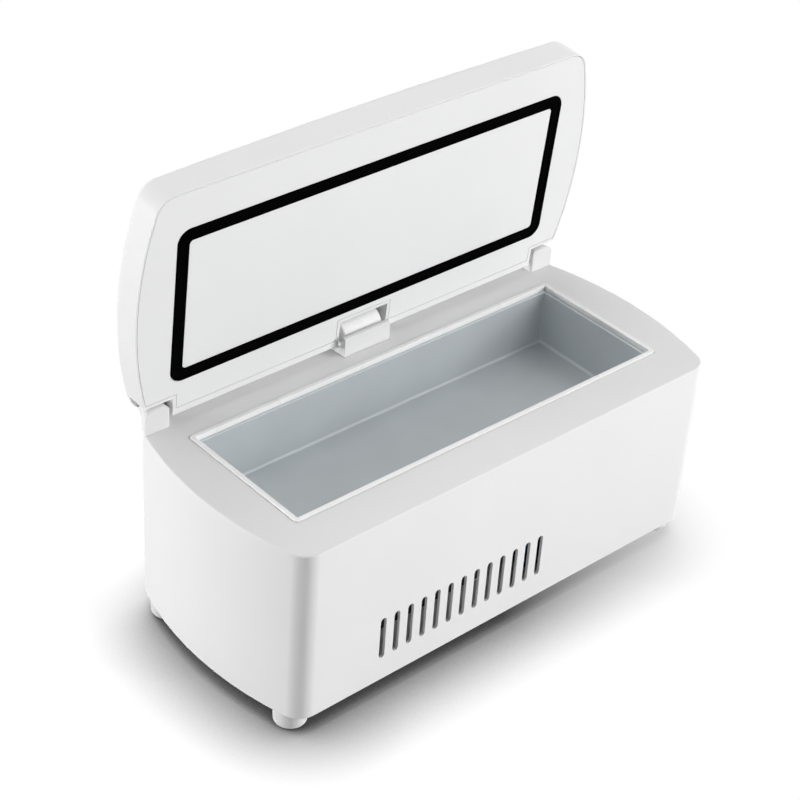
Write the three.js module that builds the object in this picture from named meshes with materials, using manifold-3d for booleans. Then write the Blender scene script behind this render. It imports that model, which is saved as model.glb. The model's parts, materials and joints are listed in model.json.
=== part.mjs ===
// Insulin cooling case, standing on its feet with the lid open.
// Millimetres, X along the case, Y back towards the hinge, Z up. The deck is the flat top of the body.
import * as THREE from "three";
import { mergeVertices } from "three/addons/utils/BufferGeometryUtils.js";
import Module from "manifold-3d";

const wasm = await Module();
wasm.setup();

// Outline seen from above, shared by the body and the closed lid: straight front and back, bowed ends.
const caseLength = 206;
const caseDepth = 92.5;
const endRadius = 140.3;
const cornerRadius = 8;
const edgeRound = 0.7;

// Body housing.
const footHeight = 8;
const bodyHeight = 71;
const wall = 2.2;
const deckThickness = 2.4;
const basePlateThickness = 2.5;

// Clearances used all over. An overrun lets a cutter pass the face that it cuts.
const fitGap = 0.3;
const holeGap = 0.15;
const pocketGap = 0.4;
const turningGap = 0.35;
const overrun = 1;

// Opening in the deck, placed by the deck that is left round it, with its trim and the metal tray.
const deckEndMargin = 17.2;
const deckFrontMargin = 17.05;
const deckBackMargin = 16.05;
const trimFlangeWidth = 1.9;
const trimSkirtWidth = 1;
const trimProud = 0.4;
const trimFlangeHeight = 1.3;
const trimSkirtHeight = 2.1;
const trimCornerRadius = 1.4;
const trimInnerRadius = 0.3;
const trayLipDrop = 1.8;
const trayWall = 1;
const trayFloor = 1.5;
const trayDepth = 24;
const trayRim = 3.8;
const trayCornerRadius = 0.6;

// Vent slots, the same row in the front and in the back wall, in line with the cooler.
const slotCount = 13;
const slotPitch = 6.22;
const slotWidth = 2.6;
const slotHeight = 18.1;
const slotSill = 10;
const slotMargin = 2;
const slotDepth = 1.2;

// Lid, measured when it is closed.
const lidGap = 1.2;
const lidEndThickness = 12.8;
const lidCrown = 1.9;
const lidEdgeRound = 2.6;
const lidWall = 2.2;
const lidSkin = 2.2;
const panelThickness = 2;
const panelEndRim = 0.6;
const panelFrontRim = 0.5;
const panelBackRim = 2.6;
const panelJoint = 0.2;
const openAngle = 85.3;

// Gasket, seated in a channel of the panel just outside the trim.
const gasketMargin = 1.55;
const gasketWidth = 4.6;
const gasketOuterRadius = 5.1;
const gasketInnerRadius = 1.6;
const gasketProud = 0.5;
const gasketSeat = 1;

// Hinge line: a post at each end, a block and a barrel in the middle.
const hingeInset = 2;
const hingeHeight = 5.8;
const postWidth = 16.3;
const postFront = 5;
const postTop = 3.3;
const postFrontRound = 2;
const postTopRound = 3.2;
const postEdgeRound = 1.2;
const postBackAngle = -60;
const postEndInset = 8.8;
const pinRadius = 1;
const pinInPost = 5;
const pinInLid = 4;
const blockHalfLength = 10.85;
const blockFront = 8;
const blockHeight = 7.8;
const blockSeatDepth = 1;
const blockChamfer = 0.5;
const barrelRadius = 5.4;
const barrelHalfLength = 9.1;
const spindleRadius = 1.2;
const spindleInLid = 3.4;
const endNotchGap = 1.2;
const endNotchClearance = 0.6;
const middleNotchGap = 0.4;
const middleNotchClearance = 0.5;
const notchRoof = 0.7;
const notchWall = 1.2;
const earLength = 5;
const earDepth = 5;

// Feet and screws.
const footEndInset = 12.1;
const footSideInset = 10.45;
const footRadius = 6.3;
const footTaper = 0.3;
const footRound = 1;
const spigotRadius = 2.9;
const spigotHeight = 1.6;
const footBoreRadius = 2.6;
const footBoreDepth = 4.6;
const screwRadius = 1.2;
const screwHeadRadius = 2.2;
const screwHeadHeight = 1.5;
const screwReach = 9;
const bossRadius = 3.6;

// Cooling train under the tray, from the top down, placed from the left end of the case.
const coolerFromEnd = 80.8;
const coldBlockLength = 62;
const coldBlockDepth = 42;
const coldBlockHeight = 6;
const moduleSide = 40;
const moduleHeight = 4;
const modulePlate = 0.8;
const pelletRows = 8;
const pelletWidth = 2.7;
const sinkLength = 78;
const sinkDepth = 64;
const sinkPlate = 4;
const finCount = 19;
const finThickness = 1.2;
const clampMargin = 6;
const clampReach = 4;
const foamUnderTray = 5;
const sensorOffset = 31.2;
const sensorRadius = 2;
const sensorLength = 14;

// Axial fan between the base plate and the fins.
const fanSide = 60;
const fanHeight = 12;
const fanCorner = 3;
const fanStand = 1.5;
const fanDuctRadius = 28.4;
const fanHoleInset = 5;
const fanScrewRadius = 1.4;
const fanScrewHeadRadius = 2.6;
const fanHubRadius = 11;
const fanHubHeight = 8.6;
const fanTipGap = 0.8;
const fanBackHeight = 2;
const bladeCount = 7;
const bladeChord = 15;
const bladeThickness = 1.2;
const bladeRootInset = 2;
const bladePitch = 33;
const bladeSweepShare = 0.75;
const strutCount = 4;
const strutWidth = 2.4;
const grilleRings = 4;
const grilleHub = 5.5;
const grilleSlot = 3.4;
const grilleSpoke = 3;

// Power bay: the room between the cooler and the right end.
const bayGap = 3.2;
const cellRadius = 9.4;
const batteryMargin = 3.2;
const cradleWidth = 3;
const cradleHeight = 9;
const cradleShare = 0.3;
const boardMargin = 4;
const boardThickness = 1.6;
const boardStand = 4;
const boardPostRadius = 2.5;
const boardPostInset = 4;
const canRadius = 4;
const canHeight = 12;
const chokeSide = 10;
const chokeHeight = 5;
const chipSide = 8;
const chipHeight = 1.2;
const canShares = [[-0.36, 0.2], [-0.18, 0.2]];
const chokeShares = [-0.25, -0.25];
const chipShares = [0.15, -0.2];
const socketInset = 24;
const socketWidth = 9;
const socketHeight = 10.7;
const socketDepth = 12;
const socketNoseRadius = 4;
const socketBoreRadius = 2.9;
const socketBoreDepth = 9;
const socketPinRadius = 0.95;

// Magnets that hold the lid shut.
const magnetEndInset = 31;
const magnetFrontInset = 7.75;
const magnetRadius = 3.2;
const magnetHeight = 2;

// Display and buttons on the outside of the lid.
const windowX = -12;
const windowY = -4;
const windowLength = 46;
const windowDepth = 24;
const windowThickness = 1;
const windowRadius = 3;
const windowSunk = 0.2;
const viewMargin = 3;
const displayHeight = 3;
const buttonOffset = 18;
const buttonPitch = 15;
const buttonRadius = 4.2;
const buttonProud = 0.9;
const buttonRound = 0.5;
const buttonFlange = 1.1;
const buttonFlangeHeight = 1;
const buttonTravel = 0.8;
const lidBoardThickness = 1.6;
const lidBoardMargin = 2.2;
const switchRadius = 2;
const switchHeight = 1.2;
const lidFoamBack = 14.75;

// Places and heights that follow from the sizes above.
const degree = Math.PI / 180;
const quarter = 90 * degree;
const sides = [-1, 1];
const halfLength = caseLength / 2;
const halfDepth = caseDepth / 2;
const deckZ = footHeight + bodyHeight;
const deckUnder = deckZ - deckThickness;
const baseTop = footHeight + basePlateThickness;

const trimLength = caseLength - 2 * deckEndMargin;
const trimDepth = caseDepth - deckFrontMargin - deckBackMargin;
const openingY = (deckFrontMargin - deckBackMargin) / 2;
const openingHalfX = trimLength / 2 - trimFlangeWidth;
const openingHalfY = trimDepth / 2 - trimFlangeWidth;
const trimSeat = deckZ + trimProud - trimFlangeHeight;
const skirtBottom = trimSeat - trimSkirtHeight;
const trayHalfX = openingHalfX - fitGap - trayWall;
const trayHalfY = openingHalfY - fitGap - trayWall;
const trayTop = deckZ + trimProud - trayLipDrop;
const rimTop = skirtBottom - fitGap;
const trayBottom = deckZ - trayDepth - trayFloor;

const axisY = halfDepth - hingeInset;
const axisZ = deckZ + hingeHeight;
const postInner = halfLength - postWidth;
const postFrontY = axisY - postFront;
const postTopZ = axisZ + postTop;
const blockFrontY = axisY - blockFront;
const spindleHalf = blockHalfLength + middleNotchGap + spindleInLid;
const hingeScrewX = barrelHalfLength / 2;
const hingeScrewY = axisY - barrelRadius + screwHeadRadius;

const footPlaces = sides.flatMap((i) => sides.map((j) => [
  i * (halfLength - footEndInset),
  j * (halfDepth - footSideInset),
]));

const coolerX = coolerFromEnd - halfLength;
const blockTop = trayBottom - fitGap;
const blockBottom = blockTop - coldBlockHeight;
const moduleTop = blockBottom - fitGap;
const moduleBottom = moduleTop - moduleHeight;
const sinkTop = moduleBottom - fitGap;
const sinkUnder = sinkTop - sinkPlate;
const clampPlaces = sides.map((i) => [coolerX + i * (moduleSide / 2 + clampMargin), openingY]);
const foamBottom = trayBottom - foamUnderTray;
const foamTop = deckUnder - fitGap;
const sensorX = coolerX + coldBlockLength / 2 + sensorOffset;
const sensorZ = trayBottom - fitGap - sensorRadius;

const fanBottom = baseTop + fanStand;
const fanTop = fanBottom + fanHeight;
const finBottom = fanTop + fitGap;
const fanScrewPlaces = sides.flatMap((i) => sides.map((j) => [
  coolerX + i * (fanSide / 2 - fanHoleInset),
  openingY + j * (fanSide / 2 - fanHoleInset),
]));

const bayLeft = coolerX + sinkLength / 2 + bayGap;
const bayRight = halfLength - footEndInset - bossRadius - bayGap;
const bayX = (bayLeft + bayRight) / 2;
const bayLength = bayRight - bayLeft;
const batteryY = wall + batteryMargin + 2 * cellRadius - halfDepth;
const batteryZ = baseTop + fitGap + cellRadius;
const boardFront = batteryY + 2 * cellRadius + bayGap;
const boardBack = halfDepth - wall - boardMargin;
const boardY = (boardFront + boardBack) / 2;
const boardZ = baseTop + boardStand;
const boardTop = boardZ + boardThickness;
const boardPosts = sides.flatMap((i) => sides.map((j) => [
  bayX + i * (bayLength / 2 - boardPostInset),
  boardY + (j * (boardBack - boardFront)) / 2 - j * boardPostInset,
]));
const socketX = bayRight - socketInset;
const socketBottom = boardTop + fitGap;
const socketZ = socketBottom + socketHeight / 2;

const lidBase = deckZ + lidGap;
const panelTop = lidBase + panelThickness;
const magnetX = halfLength - magnetEndInset;
const magnetY = magnetFrontInset - halfDepth;
const lidFoamBackY = halfDepth - lidFoamBack;

// Height of the lid's crowned outer face, lowered by drop.
function crown(drop) {
  const span = halfLength - cornerRadius;
  return (x) => lidBase + lidEndThickness + lidCrown * (1 - (x / span) ** 2) - drop;
}

const windowTop = crown(windowSunk)(Math.abs(windowX) + windowLength / 2);
const windowSeat = windowTop - windowThickness;
const viewLength = windowLength - 2 * viewMargin;
const viewDepth = windowDepth - 2 * viewMargin;
const buttonX = windowX + windowLength / 2 + buttonOffset;
const buttonPlaces = sides.map((i) => windowY + (i * buttonPitch) / 2);
const flangeRadius = buttonRadius + buttonFlange;
const flangeTop = crown(lidSkin + fitGap)(buttonX + flangeRadius);
const flangeBottom = flangeTop - buttonFlangeHeight;
const switchTop = flangeBottom - buttonTravel - fitGap;
const lidBoardTop = switchTop - switchHeight;
const lidBoardZ = lidBoardTop - lidBoardThickness;
const lidBoardLeft = windowX - windowLength / 2;
const lidBoardRight = buttonX + buttonRadius + lidBoardMargin;

const finishes = {
  shell: { color: 0xf1f2f3, roughness: 0.32, metalness: 0 },
  trim: { color: 0xf6f7f8, roughness: 0.25, metalness: 0 },
  barrel: { color: 0xf8f8f8, roughness: 0.15, metalness: 0 },
  aluminium: { color: 0xb4bcc4, roughness: 0.35, metalness: 0.9 },
  steel: { color: 0x9da1a6, roughness: 0.3, metalness: 1 },
  rubber: { color: 0x0b0b0c, roughness: 0.7, metalness: 0 },
  foam: { color: 0xe4e2da, roughness: 0.95, metalness: 0 },
  blackPlastic: { color: 0x1b1c1e, roughness: 0.5, metalness: 0 },
  ceramic: { color: 0xe9e6dc, roughness: 0.6, metalness: 0 },
  board: { color: 0x1f5a3a, roughness: 0.5, metalness: 0 },
  wrap: { color: 0x2f6fae, roughness: 0.4, metalness: 0 },
  smoked: { color: 0x101418, roughness: 0.1, metalness: 0 },
  button: { color: 0xd9dcdf, roughness: 0.35, metalness: 0 },
};

// Closed geometry to a solid that can be cut and joined.
function solid(geometry) {
  const bare = geometry.index ? geometry.toNonIndexed() : geometry.clone();
  bare.deleteAttribute("normal");
  bare.deleteAttribute("uv");
  const merged = mergeVertices(bare);
  const mesh = new wasm.Mesh({
    numProp: 3,
    vertProperties: new Float32Array(merged.attributes.position.array),
    triVerts: new Uint32Array(merged.index.array),
  });
  return new wasm.Manifold(mesh);
}

function geometryOf(body) {
  const { vertProperties, triVerts } = body.getMesh();
  const geometry = new THREE.BufferGeometry();
  geometry.setAttribute("position", new THREE.BufferAttribute(new Float32Array(vertProperties), 3));
  geometry.setIndex(new THREE.BufferAttribute(new Uint32Array(triVerts), 1));
  geometry.computeVertexNormals();
  return geometry;
}

// Mirror image across the middle plane of the case.
function mirrored(body) {
  const geometry = geometryOf(body).scale(-1, 1, 1);
  geometry.index.array.reverse();
  return solid(geometry);
}

function onSide(side, body) {
  return side > 0 ? body : mirrored(body);
}

function cut(body, cutters) {
  return cutters.reduce((left, cutter) => left.subtract(cutter), body);
}

function join(bodies) {
  return bodies.reduce((whole, body) => whole.add(body));
}

function box([x0, x1], [y0, y1], [z0, z1]) {
  const geometry = new THREE.BoxGeometry(x1 - x0, y1 - y0, z1 - z0);
  return solid(geometry.translate((x0 + x1) / 2, (y0 + y1) / 2, (z0 + z1) / 2));
}

function centredBox(x, y, length, depth, heights) {
  return box([x - length / 2, x + length / 2], [y - depth / 2, y + depth / 2], heights);
}

// Plan outline raised between two heights.
function prism(shape, [z0, z1], steps = 8) {
  const options = { depth: z1 - z0, bevelEnabled: false, curveSegments: steps };
  return solid(new THREE.ExtrudeGeometry(shape, options).translate(0, 0, z0));
}

// Outline drawn in Y and Z, carried along X.
function sideProfile(shape, [x0, x1], steps = 8) {
  const options = { depth: x1 - x0, bevelEnabled: false, curveSegments: steps };
  const geometry = new THREE.ExtrudeGeometry(shape, options).rotateX(quarter).rotateZ(quarter);
  return solid(geometry.translate(x0, 0, 0));
}

// Outline drawn in X and Z, carried along Y.
function frontProfile(shape, [y0, y1], steps = 8) {
  const options = { depth: y1 - y0, bevelEnabled: false, curveSegments: steps };
  return solid(new THREE.ExtrudeGeometry(shape, options).rotateX(quarter).translate(0, y1, 0));
}

function upright(x, y, radius, [z0, z1], facets = 12) {
  const geometry = new THREE.CylinderGeometry(radius, radius, z1 - z0, facets);
  return solid(geometry.rotateX(quarter).translate(x, y, (z0 + z1) / 2));
}

function rodAlongX(radius, [x0, x1], y, z, facets = 12) {
  const geometry = new THREE.CylinderGeometry(radius, radius, x1 - x0, facets);
  return solid(geometry.rotateZ(quarter).translate((x0 + x1) / 2, y, z));
}

function rodAlongY(radius, x, [y0, y1], z, facets = 16) {
  const geometry = new THREE.CylinderGeometry(radius, radius, y1 - y0, facets);
  return solid(geometry.translate(x, (y0 + y1) / 2, z));
}

// Profile of [radius, height] points revolved about an upright line.
function revolved(profile, x, y, facets) {
  const points = profile.map(([radius, height]) => new THREE.Vector2(radius, height));
  return solid(new THREE.LatheGeometry(points, facets).rotateX(quarter).translate(x, y, 0));
}

function roundedRectangle(x, y, length, depth, radius) {
  const [reachX, reachY] = [length / 2 - radius, depth / 2 - radius];
  const shape = new THREE.Shape();
  shape.absarc(x + reachX, y + reachY, radius, 0, quarter);
  shape.absarc(x - reachX, y + reachY, radius, quarter, 2 * quarter);
  shape.absarc(x - reachX, y - reachY, radius, 2 * quarter, 3 * quarter);
  shape.absarc(x + reachX, y - reachY, radius, 3 * quarter, 4 * quarter);
  return shape;
}

// Rounded rectangle round the middle of the opening, given by its half sizes.
function openingPrism(halfX, halfY, radius, heights, steps = 4) {
  return prism(roundedRectangle(0, openingY, 2 * halfX, 2 * halfY, radius), heights, steps);
}

// Front half of the case outline from the left end to the right end, drawn in by inset.
// frontSteps splits the straight front, so that a crown can follow it.
function frontOutline(inset, frontSteps) {
  const cornerSteps = 5;
  const endSteps = 5;
  const corner = Math.max(cornerRadius - inset, edgeRound);
  const radius = endRadius - inset;
  const centreX = halfLength - endRadius;
  const cornerY = halfDepth - inset - corner;
  const cornerX = centreX + Math.sqrt((radius - corner) ** 2 - cornerY ** 2);
  const turn = Math.atan2(cornerX - centreX, cornerY);
  const right = [];
  for (let i = 0; i < frontSteps; i++) right.push([(cornerX * i) / frontSteps, inset - halfDepth]);
  for (let i = 0; i <= cornerSteps; i++) {
    const angle = (turn * i) / cornerSteps;
    right.push([cornerX + corner * Math.sin(angle), -cornerY - corner * Math.cos(angle)]);
  }
  for (let i = 1; i < endSteps; i++) {
    const angle = turn + ((quarter - turn) * i) / endSteps;
    right.push([centreX + radius * Math.sin(angle), -radius * Math.cos(angle)]);
  }
  right.push([halfLength - inset, 0]);
  const left = right.slice(1).reverse().map(([x, y]) => [-x, y]);
  return [...left, ...right];
}

// Solid between stacked case outlines. Each level has an inset and a height, which may follow x.
// The caps are strips from front to back, so that a crowned cap stays smooth.
function stackedCase(levels, frontSteps = 1) {
  const rings = levels.map(({ inset, height }) => {
    const front = frontOutline(inset, frontSteps);
    const back = front.slice(1, -1).reverse().map(([x, y]) => [x, -y]);
    const heightAt = typeof height === "function" ? height : () => height;
    return [...front, ...back].map(([x, y]) => [x, y, heightAt(x)]);
  });
  const count = rings[0].length;
  const triangles = [];
  for (let level = 1; level < rings.length; level++) {
    const [low, high] = [(level - 1) * count, level * count];
    for (let i = 0; i < count; i++) {
      const next = (i + 1) % count;
      triangles.push(low + i, low + next, high + next, low + i, high + next, high + i);
    }
  }
  const top = (rings.length - 1) * count;
  for (let i = 0; i < count / 2; i++) {
    const far = (count - i) % count;
    const farNext = count - i - 1;
    if (i > 0) triangles.push(i, far, i + 1, top + i, top + i + 1, top + far);
    if (i + 1 < farNext) triangles.push(i + 1, far, farNext, top + i + 1, top + farNext, top + far);
  }
  const geometry = new THREE.BufferGeometry();
  geometry.setAttribute("position", new THREE.Float32BufferAttribute(rings.flat(2), 3));
  geometry.setIndex(triangles);
  return solid(geometry);
}

function casePrism(inset, [z0, z1]) {
  return stackedCase([{ inset, height: z0 }, { inset, height: z1 }]);
}

// Upright vent slots with round ends, cut through a wall between two depths.
function slotCutters(depths) {
  const radius = slotWidth / 2;
  const low = footHeight + slotSill + radius;
  const high = footHeight + slotSill + slotHeight - radius;
  return Array.from({ length: slotCount }, (_, i) => {
    const x = coolerX + (i - (slotCount - 1) / 2) * slotPitch;
    const shape = new THREE.Shape();
    shape.absarc(x, high, radius, 0, 2 * quarter);
    shape.absarc(x, low, radius, 2 * quarter, 4 * quarter);
    return frontProfile(shape, depths, 2);
  });
}

// Post that carries the right end of the lid: flat front, rounded top, outer side flush with the case.
function hingePost() {
  const steps = 4;
  const backY = axisY + 2 * postTop;
  const profile = new THREE.Shape();
  profile.moveTo(halfDepth - edgeRound, deckUnder);
  profile.lineTo(postFrontY, deckUnder);
  const [frontRoundY, frontRoundZ] = [postFrontY + postFrontRound, postTopZ - postFrontRound];
  profile.absarc(frontRoundY, frontRoundZ, postFrontRound, 2 * quarter, quarter, true);
  profile.absarc(axisY, axisZ, postTop, quarter, postBackAngle * degree, true);
  profile.lineTo(halfDepth - edgeRound, deckZ - edgeRound);
  const face = new THREE.Shape();
  const roundX = postInner + postTopRound;
  face.moveTo(postInner, deckUnder - overrun);
  face.lineTo(halfLength, deckUnder - overrun);
  face.lineTo(halfLength, postTopZ + overrun);
  face.lineTo(roundX, postTopZ + overrun);
  face.lineTo(roundX, postTopZ);
  face.absarc(roundX, postTopZ - postTopRound, postTopRound, quarter, 2 * quarter);
  const plan = new THREE.Shape();
  plan.moveTo(halfLength, backY);
  plan.lineTo(postInner, backY);
  plan.absarc(
    postInner + postEdgeRound, postFrontY + postEdgeRound, postEdgeRound, 2 * quarter, 3 * quarter);
  plan.lineTo(halfLength, postFrontY);
  return sideProfile(profile, [postInner, halfLength], 6)
    .intersect(frontProfile(face, [postFrontY - overrun, backY], steps))
    .intersect(prism(plan, [deckUnder - overrun, postTopZ + overrun], 3))
    .intersect(postOutside(backY, steps));
}

// Outer side of the posts: along the case outline, then straight past it, with a round up to the top.
function postOutside(backY, steps) {
  const rounding = Array.from({ length: steps + 1 }, (_, i) => {
    const angle = (quarter * i) / steps;
    return {
      inset: postTopRound * (1 - Math.cos(angle)),
      height: postTopZ - postTopRound * (1 - Math.sin(angle)),
    };
  });
  const reach = halfLength - postEndInset;
  const straight = new THREE.Shape();
  straight.moveTo(0, deckUnder);
  straight.lineTo(reach, deckUnder);
  straight.absarc(reach - postTopRound, postTopZ - postTopRound, postTopRound, 0, quarter);
  straight.lineTo(0, postTopZ);
  return stackedCase([{ inset: 0, height: deckUnder }, ...rounding])
    .add(frontProfile(straight, [postFrontY - overrun, backY], steps));
}

// Recess behind the vent slots that thins a wall, between two depths.
function ventRecess(depths) {
  const reach = ((slotCount - 1) * slotPitch + slotWidth) / 2 + slotMargin;
  const sill = footHeight + slotSill;
  const heights = [sill - slotMargin, sill + slotHeight + slotMargin];
  return box([coolerX - reach, coolerX + reach], depths, heights);
}

// Boss for a base screw, webbed to the nearer end wall.
function screwBoss([x, y]) {
  const heights = [baseTop + fitGap, foamBottom - fitGap];
  const end = Math.sign(x) * halfLength;
  const web = box([Math.min(x, end), Math.max(x, end)], [y - wall / 2, y + wall / 2], heights);
  const hole = upright(x, y, screwRadius + holeGap, [footHeight, baseTop + screwReach + fitGap], 8);
  return upright(x, y, bossRadius, heights).add(web).subtract(hole).intersect(casePrism(wall / 2, heights));
}

function bodyShell() {
  const softShare = 0.3;
  const outside = stackedCase([
    { inset: 0, height: footHeight },
    { inset: 0, height: deckZ - edgeRound },
    { inset: edgeRound * softShare, height: deckZ - edgeRound * softShare },
    { inset: edgeRound, height: deckZ },
  ]);
  const housing = outside.subtract(casePrism(wall, [footHeight - overrun, deckUnder]));
  const right = hingePost();
  const shell = join([housing, right, mirrored(right), ...footPlaces.map(screwBoss)]);
  const [flangeX, flangeY] = [trimLength / 2 + fitGap, trimDepth / 2 + fitGap];
  const skirtInset = trimFlangeWidth - trimSkirtWidth - fitGap;
  const [skirtX, skirtY] = [trimLength / 2 - skirtInset, trimDepth / 2 - skirtInset];
  const seatDepth = deckZ - blockSeatDepth - fitGap;
  const blockReach = blockHalfLength + fitGap;
  const blockDepths = [blockFrontY - fitGap, halfDepth + overrun];
  const pinBore = [postInner - overrun, postInner + pinInPost + fitGap];
  const pinHole = rodAlongX(pinRadius + holeGap, pinBore, axisY, axisZ);
  const backWall = [halfDepth - wall - overrun, halfDepth + overrun];
  return cut(shell, [
    openingPrism(flangeX, flangeY, trimCornerRadius + fitGap, [trimSeat - fitGap, deckZ + overrun]),
    openingPrism(skirtX, skirtY, trimCornerRadius, [deckUnder - overrun, deckZ]),
    box([-blockReach, blockReach], blockDepths, [seatDepth, deckZ + overrun]),
    ...sides.map((i) =>
      upright(i * hingeScrewX, hingeScrewY, screwRadius + holeGap, [deckUnder - overrun, deckZ], 8)),
    pinHole,
    mirrored(pinHole),
    ventRecess([slotDepth - halfDepth, wall + overrun - halfDepth]),
    ventRecess([halfDepth - wall - overrun, halfDepth - slotDepth]),
    ...slotCutters([-halfDepth - overrun, wall + overrun - halfDepth]),
    ...slotCutters(backWall),
    rodAlongY(socketNoseRadius + fitGap, socketX, backWall, socketZ),
  ]);
}

// White trim: a flange on the deck and a skirt that drops through it.
function openingTrim() {
  const skirtInset = trimFlangeWidth - trimSkirtWidth;
  const [skirtX, skirtY] = [trimLength / 2 - skirtInset, trimDepth / 2 - skirtInset];
  const flangeHeights = [trimSeat, deckZ + trimProud];
  const flange = openingPrism(trimLength / 2, trimDepth / 2, trimCornerRadius, flangeHeights);
  const skirt = openingPrism(skirtX, skirtY, trimCornerRadius, [skirtBottom, trimSeat + trimProud]);
  const through = [skirtBottom - overrun, deckZ + overrun];
  return flange.add(skirt).subtract(openingPrism(openingHalfX, openingHalfY, trimInnerRadius, through));
}

// Metal tray: its lip stands inside the skirt of the trim, which holds down the flat rim.
function coldTray() {
  const [outerX, outerY] = [trayHalfX + trayWall, trayHalfY + trayWall];
  const tub = openingPrism(outerX, outerY, trayCornerRadius + trayWall, [trayBottom, trayTop]);
  const rim = openingPrism(
    trayHalfX + trayRim, trayHalfY + trayRim, trayCornerRadius + trayRim, [rimTop - trayWall, rimTop]);
  const room = [trayBottom + trayFloor, trayTop + overrun];
  return tub.add(rim).subtract(openingPrism(trayHalfX, trayHalfY, trayCornerRadius, room));
}

// Insulation that fills the housing round the tray, with pockets for what reaches into it.
function foamJacket() {
  const rimGap = trayRim + pocketGap;
  const sideGap = trayWall + pocketGap;
  const headRoom = screwHeadRadius + pocketGap;
  const sensorReach = sensorLength / 2 + pocketGap;
  const above = foamTop + overrun;
  const rimHeights = [rimTop - trayWall - fitGap, above];
  return cut(casePrism(wall + pocketGap, [foamBottom, foamTop]), [
    openingPrism(trayHalfX + rimGap, trayHalfY + rimGap, trayCornerRadius + rimGap, rimHeights, 3),
    openingPrism(
      trayHalfX + sideGap, trayHalfY + sideGap, trayCornerRadius + sideGap, [trayBottom - fitGap, above], 3),
    centredBox(
      coolerX, openingY, coldBlockLength + 2 * pocketGap, coldBlockDepth + 2 * pocketGap,
      [foamBottom - overrun, trayBottom]),
    rodAlongX(sensorRadius + pocketGap, [sensorX - sensorReach, sensorX + sensorReach], openingY, sensorZ),
    box(
      [-hingeScrewX - headRoom, hingeScrewX + headRoom], [hingeScrewY - headRoom, halfDepth],
      [foamTop - screwHeadHeight - 2 * fitGap, above]),
    ...sides.map((i) =>
      upright(i * magnetX, magnetY, magnetRadius + pocketGap, [foamTop - magnetHeight - pocketGap, above])),
  ]);
}

function temperatureSensor() {
  const ends = [sensorX - sensorLength / 2, sensorX + sensorLength / 2];
  return rodAlongX(sensorRadius, ends, openingY, sensorZ);
}

function coldBlock() {
  const block = centredBox(coolerX, openingY, coldBlockLength, coldBlockDepth, [blockBottom, blockTop]);
  const reach = [blockBottom - overrun, blockBottom + clampReach + fitGap];
  return cut(block, clampPlaces.map(([x, y]) => upright(x, y, screwRadius + holeGap, reach, 8)));
}

// Two ceramic plates with rows of pellets between them.
function thermoelectricModule() {
  const plates = [[moduleBottom, moduleBottom + modulePlate], [moduleTop - modulePlate, moduleTop]]
    .map((heights) => centredBox(coolerX, openingY, moduleSide, moduleSide, heights));
  const pitch = moduleSide / pelletRows;
  const rows = Array.from({ length: pelletRows }, (_, i) => {
    const y = openingY + (i - (pelletRows - 1) / 2) * pitch;
    const heights = [moduleBottom + modulePlate / 2, moduleTop - modulePlate / 2];
    return centredBox(coolerX, y, moduleSide - pelletWidth, pelletWidth, heights);
  });
  return join([...plates, ...rows]);
}

// Extruded heat sink: one comb profile from front to back, relieved for the clamp screws.
function heatSink() {
  const left = coolerX - sinkLength / 2;
  const pitch = (sinkLength - finThickness) / (finCount - 1);
  const comb = new THREE.Shape();
  comb.moveTo(left, sinkTop);
  for (let i = 0; i < finCount; i++) {
    const x = left + i * pitch;
    comb.lineTo(x, finBottom);
    comb.lineTo(x + finThickness, finBottom);
    if (i + 1 === finCount) break;
    comb.lineTo(x + finThickness, sinkUnder);
    comb.lineTo(x + pitch, sinkUnder);
  }
  comb.lineTo(left + sinkLength, sinkTop);
  const depths = [openingY - sinkDepth / 2, openingY + sinkDepth / 2];
  const through = [sinkUnder - overrun, sinkTop + overrun];
  const finHeights = [finBottom - overrun, sinkUnder];
  return cut(frontProfile(comb, depths), [
    ...clampPlaces.map(([x, y]) => upright(x, y, screwRadius + holeGap, through, 8)),
    ...clampPlaces.map(([x, y]) => upright(x, y, screwHeadRadius + pocketGap, finHeights)),
  ]);
}

// Upright screw with its head down.
function screw([x, y], headBottom, top, headRadius = screwHeadRadius, radius = screwRadius) {
  const head = upright(x, y, headRadius, [headBottom, headBottom + screwHeadHeight]);
  return head.add(upright(x, y, radius, [headBottom + screwHeadHeight / 2, top], 8));
}

// Square fan frame: round duct, struts and the disc that carries the motor, on the outlet side.
function fanFrame() {
  const square = roundedRectangle(coolerX, openingY, fanSide, fanSide, fanCorner);
  const plate = prism(square, [fanBottom, fanTop], 3);
  const through = [fanBottom - overrun, fanTop + overrun];
  const duct = upright(coolerX, openingY, fanDuctRadius, through, 24);
  const struts = Array.from({ length: strutCount }, (_, i) => {
    const length = fanDuctRadius + strutWidth / 2;
    const strut = new THREE.BoxGeometry(length, strutWidth, fanBackHeight);
    strut.translate(length / 2, 0, fanTop - fanBackHeight / 2);
    return solid(strut.rotateZ(((2 * i + 1) * 2 * quarter) / strutCount).translate(coolerX, openingY, 0));
  });
  const disc = upright(coolerX, openingY, fanHubRadius, [fanTop - fanBackHeight, fanTop], 20);
  const holes = fanScrewPlaces.map(([x, y]) => upright(x, y, fanScrewRadius + holeGap, through, 8));
  return cut(join([plate.subtract(duct), ...struts, disc]), holes);
}

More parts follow.
